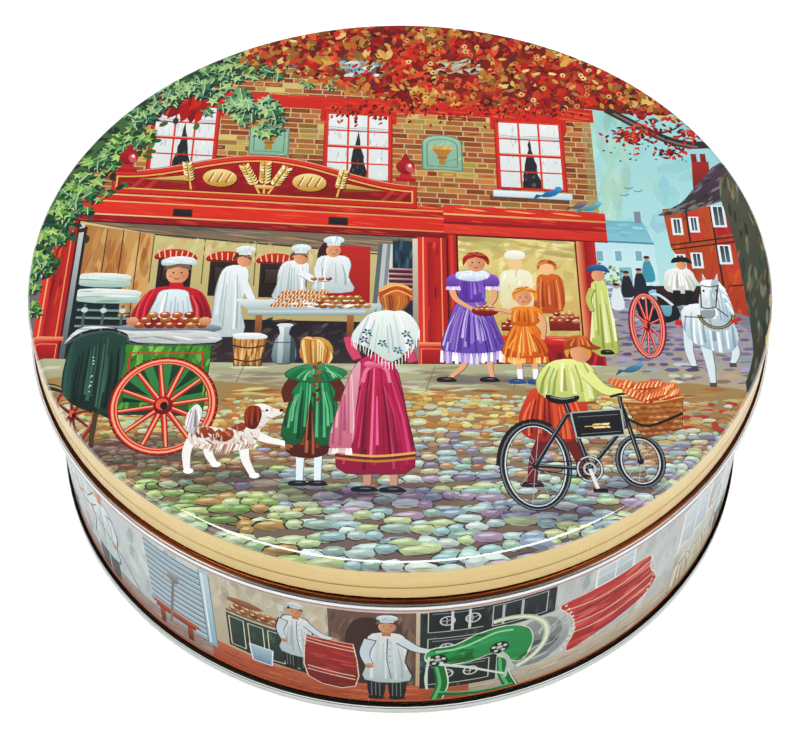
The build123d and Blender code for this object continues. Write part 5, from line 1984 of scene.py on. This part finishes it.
def material(name, roughness):
    """A new node material, with helpers for its nodes. Returns it, its shader and a node maker."""
    made = bpy.data.materials.new(name)
    made.use_nodes = True
    tree = made.node_tree
    shader = tree.nodes["Principled BSDF"]
    shader.inputs["Roughness"].default_value = roughness

    def node(kind, **settings):
        new = tree.nodes.new("ShaderNode" + kind)
        for key, value in settings.items():
            if key in new.inputs:
                if hasattr(value, "node"):
                    tree.links.new(value, new.inputs[key])
                else:
                    new.inputs[key].default_value = value
            else:
                setattr(new, key, value)
        return new

    return made, shader, node, tree.links.new


def ramp(new, steps):
    """Sets a colour ramp's steps: (place, ink) pairs. The two ends go in first."""
    band = new.color_ramp
    for element, (place, ink) in zip(band.elements, (steps[0], steps[-1])):
        element.position = place
        element.color = [linear(c) for c in rgb(ink)] + [1]
    for place, ink in steps[1:-1]:
        band.elements.new(place).color = [linear(c) for c in rgb(ink)] + [1]
    return new


def speckle(node, scale, low, high, ink_low, ink_high, detail=4.0, stretch=(1, 1, 1)):
    """A ramp of two inks over fine noise, in the object's own space, as a factor colour."""
    place = node("TexCoord").outputs["Object"]
    turned = node("Mapping", Vector=place, Scale=stretch).outputs["Vector"]
    noise = node("TexNoise", Vector=turned, Scale=scale, Detail=detail).outputs["Fac"]
    return ramp(node("ValToRGB", Fac=noise), ((low, ink_low), (high, ink_high))).outputs["Color"]


def print_material(name, gloss, contrast, grain_inks):
    """Litho inks on tinplate, with the faint grain of the rollers and a thin clear varnish."""
    made, shader, node, link = material(name, 0.3)
    ink = node("Gamma", Color=node("VertexColor", layer_name="ink").outputs["Color"],
               Gamma=contrast).outputs["Color"]
    grain = speckle(node, 2600, 0.35, 0.65, *grain_inks)
    toned = node("Mix", data_type="RGBA", blend_type="MULTIPLY", Factor=1.0, A=ink, B=grain)
    link(toned.outputs["Result"], shader.inputs["Base Color"])
    smears = speckle(node, 60, 0.3, 0.7, "7d7d7d", "a0a0a0")
    link(smears, shader.inputs["Roughness"])
    waves = node("TexNoise", Vector=node("TexCoord").outputs["Object"], Scale=18.0, Detail=1.0)
    bump = node("Bump", Height=waves.outputs["Fac"], Strength=0.05, Distance=0.001)
    link(bump.outputs["Normal"], shader.inputs["Normal"])
    shader.inputs["Specular IOR Level"].default_value = 0.15 * gloss
    shader.inputs["Coat Weight"].default_value = gloss
    shader.inputs["Coat Roughness"].default_value = 0.04
    shader.inputs["Coat IOR"].default_value = 1.9
    return made


DRAWN_LINES = (1, 1, 14)        # how noise is squeezed up the tin, so that it runs round it
NO_LINES = (1, 1, 1)
SEAM_TOP = (0.0979, 0.0033)     # radius and height in metres beyond which the seam's fold is in shade
SEAM_SHADE = (0.012, 0.008, 0.006, 1)


def metal_material(name, steps, roughness, metallic, stretch=DRAWN_LINES, crease=None):
    """Rolled tinplate: bands of colour by height, some of them painted highlights, painted reflections and
    painted shade, drawing lines round the tin and small stains.

    crease is the radius and height beyond which the top of the folded seam lies in shade.
    """
    made, shader, node, link = material(name, roughness)
    place = node("TexCoord").outputs["Object"]
    height = node("SeparateXYZ", Vector=place).outputs["Z"]
    share = node("Math", operation="DIVIDE")
    link(height, share.inputs[0])
    share.inputs[1].default_value = TIN_HEIGHT
    bands = ramp(node("ValToRGB", Fac=share.outputs[0]), steps).outputs["Color"]
    lines = speckle(node, 70, 0.3, 0.7, "e3dfd6", "ffffff", 4.0, stretch)
    toned = node("Mix", data_type="RGBA", blend_type="MULTIPLY", Factor=0.35, A=bands, B=lines)
    tone = toned.outputs["Result"]
    if crease:
        level = node("Mapping", Vector=place, Scale=(1, 1, 0)).outputs["Vector"]
        away = node("VectorMath", operation="LENGTH", Vector=level).outputs["Value"]
        shade = node("Math", operation="MULTIPLY")
        for socket, value, limit in zip(shade.inputs, (away, height), crease):
            beyond = node("Math", operation="GREATER_THAN")
            link(value, beyond.inputs[0])
            beyond.inputs[1].default_value = limit
            link(beyond.outputs[0], socket)
        shaded = node("Mix", data_type="RGBA", blend_type="MIX", Factor=shade.outputs[0], A=tone,
                      B=SEAM_SHADE)
        tone = shaded.outputs["Result"]
    link(tone, shader.inputs["Base Color"])
    stains = node("TexNoise", Vector=place, Scale=160.0, Detail=5.0).outputs["Fac"]
    rough = node("MapRange", Value=stains, **{
        "From Min": 0.3, "From Max": 0.7, "To Min": roughness - 0.06, "To Max": roughness + 0.08,
    })
    link(rough.outputs["Result"], shader.inputs["Roughness"])
    dents = node("TexNoise", Vector=place, Scale=25.0, Detail=1.0)
    bump = node("Bump", Height=dents.outputs["Fac"], Strength=0.03, Distance=0.001)
    link(bump.outputs["Normal"], shader.inputs["Normal"])
    shader.inputs["Metallic"].default_value = metallic
    return made


def give(node_name, made):
    """Puts one material on a CAD node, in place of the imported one."""
    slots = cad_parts[node_name].data.materials
    for i in range(len(slots)):
        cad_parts[node_name].material_slots[i].link = "OBJECT"
        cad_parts[node_name].material_slots[i].material = made


# Bands up the body's wall. On the bead the dark line and the white line over it are a painted reflection
# and a painted highlight; above them the brown is a painted reflection of the gold lid, darkening into
# painted shade in the gap under the lid's hem.
WALL_BANDS_WITH_PAINTED_REFLECTIONS = (
    (0.0, "d5dad6"), (0.06, "e3e5e0"), (0.742, "c6c2be"), (0.754, "c6c2be"), (0.757, "96685a"),
    (0.767, "96685a"),
    (0.769, "d3d8da"), (0.7785, "dfe3e4"), (0.780, "1c1816"), (0.783, "1c1816"), (0.784, "ffffff"),
    (0.7862, "fff6ec"), (0.7872, "8a4414"), (0.80, "5a2c12"), (0.97, "c9ab68"),
)
# Gold lacquer up the lid's skirt, darker brown towards the hem: painted shade.
GOLD_SHADED_TOWARDS_HEM = ((0.80, "b08a50"), (0.83, "cbae70"), (0.9, "d3b97a"), (0.97, "d8c084"))
WORLD_STEPS = ((0.0, "262626"), (0.15, "303030"), (0.24, "b4b4b4"), (0.75, "c4c4c4"), (0.96, "ffffff"))
# Bands up the base's seam: the dark line and the white line over it are a painted reflection and a painted
# highlight.
SEAM_BANDS_WITH_PAINTED_SHINE = ((0.0, "c0c9c3"), (0.032, "d0d7d2"), (0.0345, "3c4842"), (0.0385, "3c4842"), (0.041, "f6f8f6"),
             (0.07, "e0e2de"))

# ------------------------------------------------------------------ pieces

lid_art = print_mesh("lid_print", lid_picture(), onto_lid, rim_cuts(), rim_zone)
wall_art = print_mesh("body_print", wall_picture(), onto_wall, wall_cuts(), wall_zone)
for piece, body, slot in ((lid_art, "lid", "lid_artwork"), (wall_art, "tin", "wall_artwork")):
    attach(piece, body)
lid_art.data.materials.append(print_material("lid_litho", 0.9, 1.25, ("f2f2f2", "ffffff")))
wall_art.data.materials.append(print_material("wall_litho", 0.08, 1.2, ("eef2f2", "ffffff")))
give("body_wall", metal_material("wall_tinplate", WALL_BANDS_WITH_PAINTED_REFLECTIONS, 0.24, 0.9))
give("lid", metal_material("gold_lacquer", GOLD_SHADED_TOWARDS_HEM, 0.3, 0.55))
give("base", metal_material("base_tinplate", SEAM_BANDS_WITH_PAINTED_SHINE, 0.4, 0.85, NO_LINES, SEAM_TOP))

# ------------------------------------------------------------------- stage

CAMERA_PLACE = (0, -0.3367, 0.4213)     # metres, in front of the tin and above it
CAMERA_TILT = 40.2                      # degrees up from looking straight down
CAMERA_LENS = 81                        # mm
WORLD_STRENGTH = 0.25
FLOOR_SIZE = 20                         # metres, so that its edge stays out of every view
FLOOR_TONE = (0.75, 0.75, 0.75, 1)
FLOOR_GLOW = 0.5
SOFTBOXES = (                           # name, place, aim, width, height, watts
    ("overhead", (0, -0.1, 1.2), (0, 0, 0.05), 1.2, 0.4, 15),
    ("left", (-0.8, -0.5, 0.5), (0, 0, 0.04), 0.5, 0.6, 1.5),
    ("right", (0.8, -0.4, 0.5), (0, 0, 0.04), 0.5, 0.6, 1.5),
)

scene = bpy.context.scene
camera = bpy.data.objects.new("camera", bpy.data.cameras.new("camera"))
bpy.context.collection.objects.link(camera)
camera.data.lens = CAMERA_LENS
camera.location = CAMERA_PLACE
camera.rotation_euler = (math.radians(CAMERA_TILT), 0, 0)
scene.camera = camera

world = bpy.data.worlds.new("studio")
world.use_nodes = True
scene.world = world


def studio_walls():
    """White above, with a dark band at the horizon that gives bright metal its dark lines."""
    tree = world.node_tree
    place = tree.nodes.new("ShaderNodeTexCoord")
    split = tree.nodes.new("ShaderNodeSeparateXYZ")
    band = ramp(tree.nodes.new("ShaderNodeValToRGB"), WORLD_STEPS)
    tree.links.new(place.outputs["Generated"], split.inputs["Vector"])
    tree.links.new(split.outputs["Z"], band.inputs["Fac"])
    tree.links.new(band.outputs["Color"], tree.nodes["Background"].inputs["Color"])
    tree.nodes["Background"].inputs["Strength"].default_value = WORLD_STRENGTH


studio_walls()
scene.view_settings.view_transform = "Standard"


def softbox(name, place, aim, wide, tall, watts):
    """A rectangular studio lamp facing one point."""
    lamp = bpy.data.lights.new(name, "AREA")
    lamp.shape = "RECTANGLE"
    lamp.size = wide
    lamp.size_y = tall
    lamp.energy = watts
    box = bpy.data.objects.new(name, lamp)
    box.location = place
    box.rotation_euler = (Vector(aim) - Vector(place)).to_track_quat("-Z", "Y").to_euler()
    bpy.context.collection.objects.link(box)


for settings in SOFTBOXES:
    softbox(*settings)

bpy.ops.mesh.primitive_plane_add(size=FLOOR_SIZE)
floor = bpy.context.object
floor.name = "floor"
paper, paper_shader, _, _ = material("white_paper", 0.9)
paper_shader.inputs["Base Color"].default_value = FLOOR_TONE
paper_shader.inputs["Specular IOR Level"].default_value = 0.0
paper_shader.inputs["Emission Color"].default_value = (1, 1, 1, 1)
paper_shader.inputs["Emission Strength"].default_value = FLOOR_GLOW
floor.data.materials.append(paper)
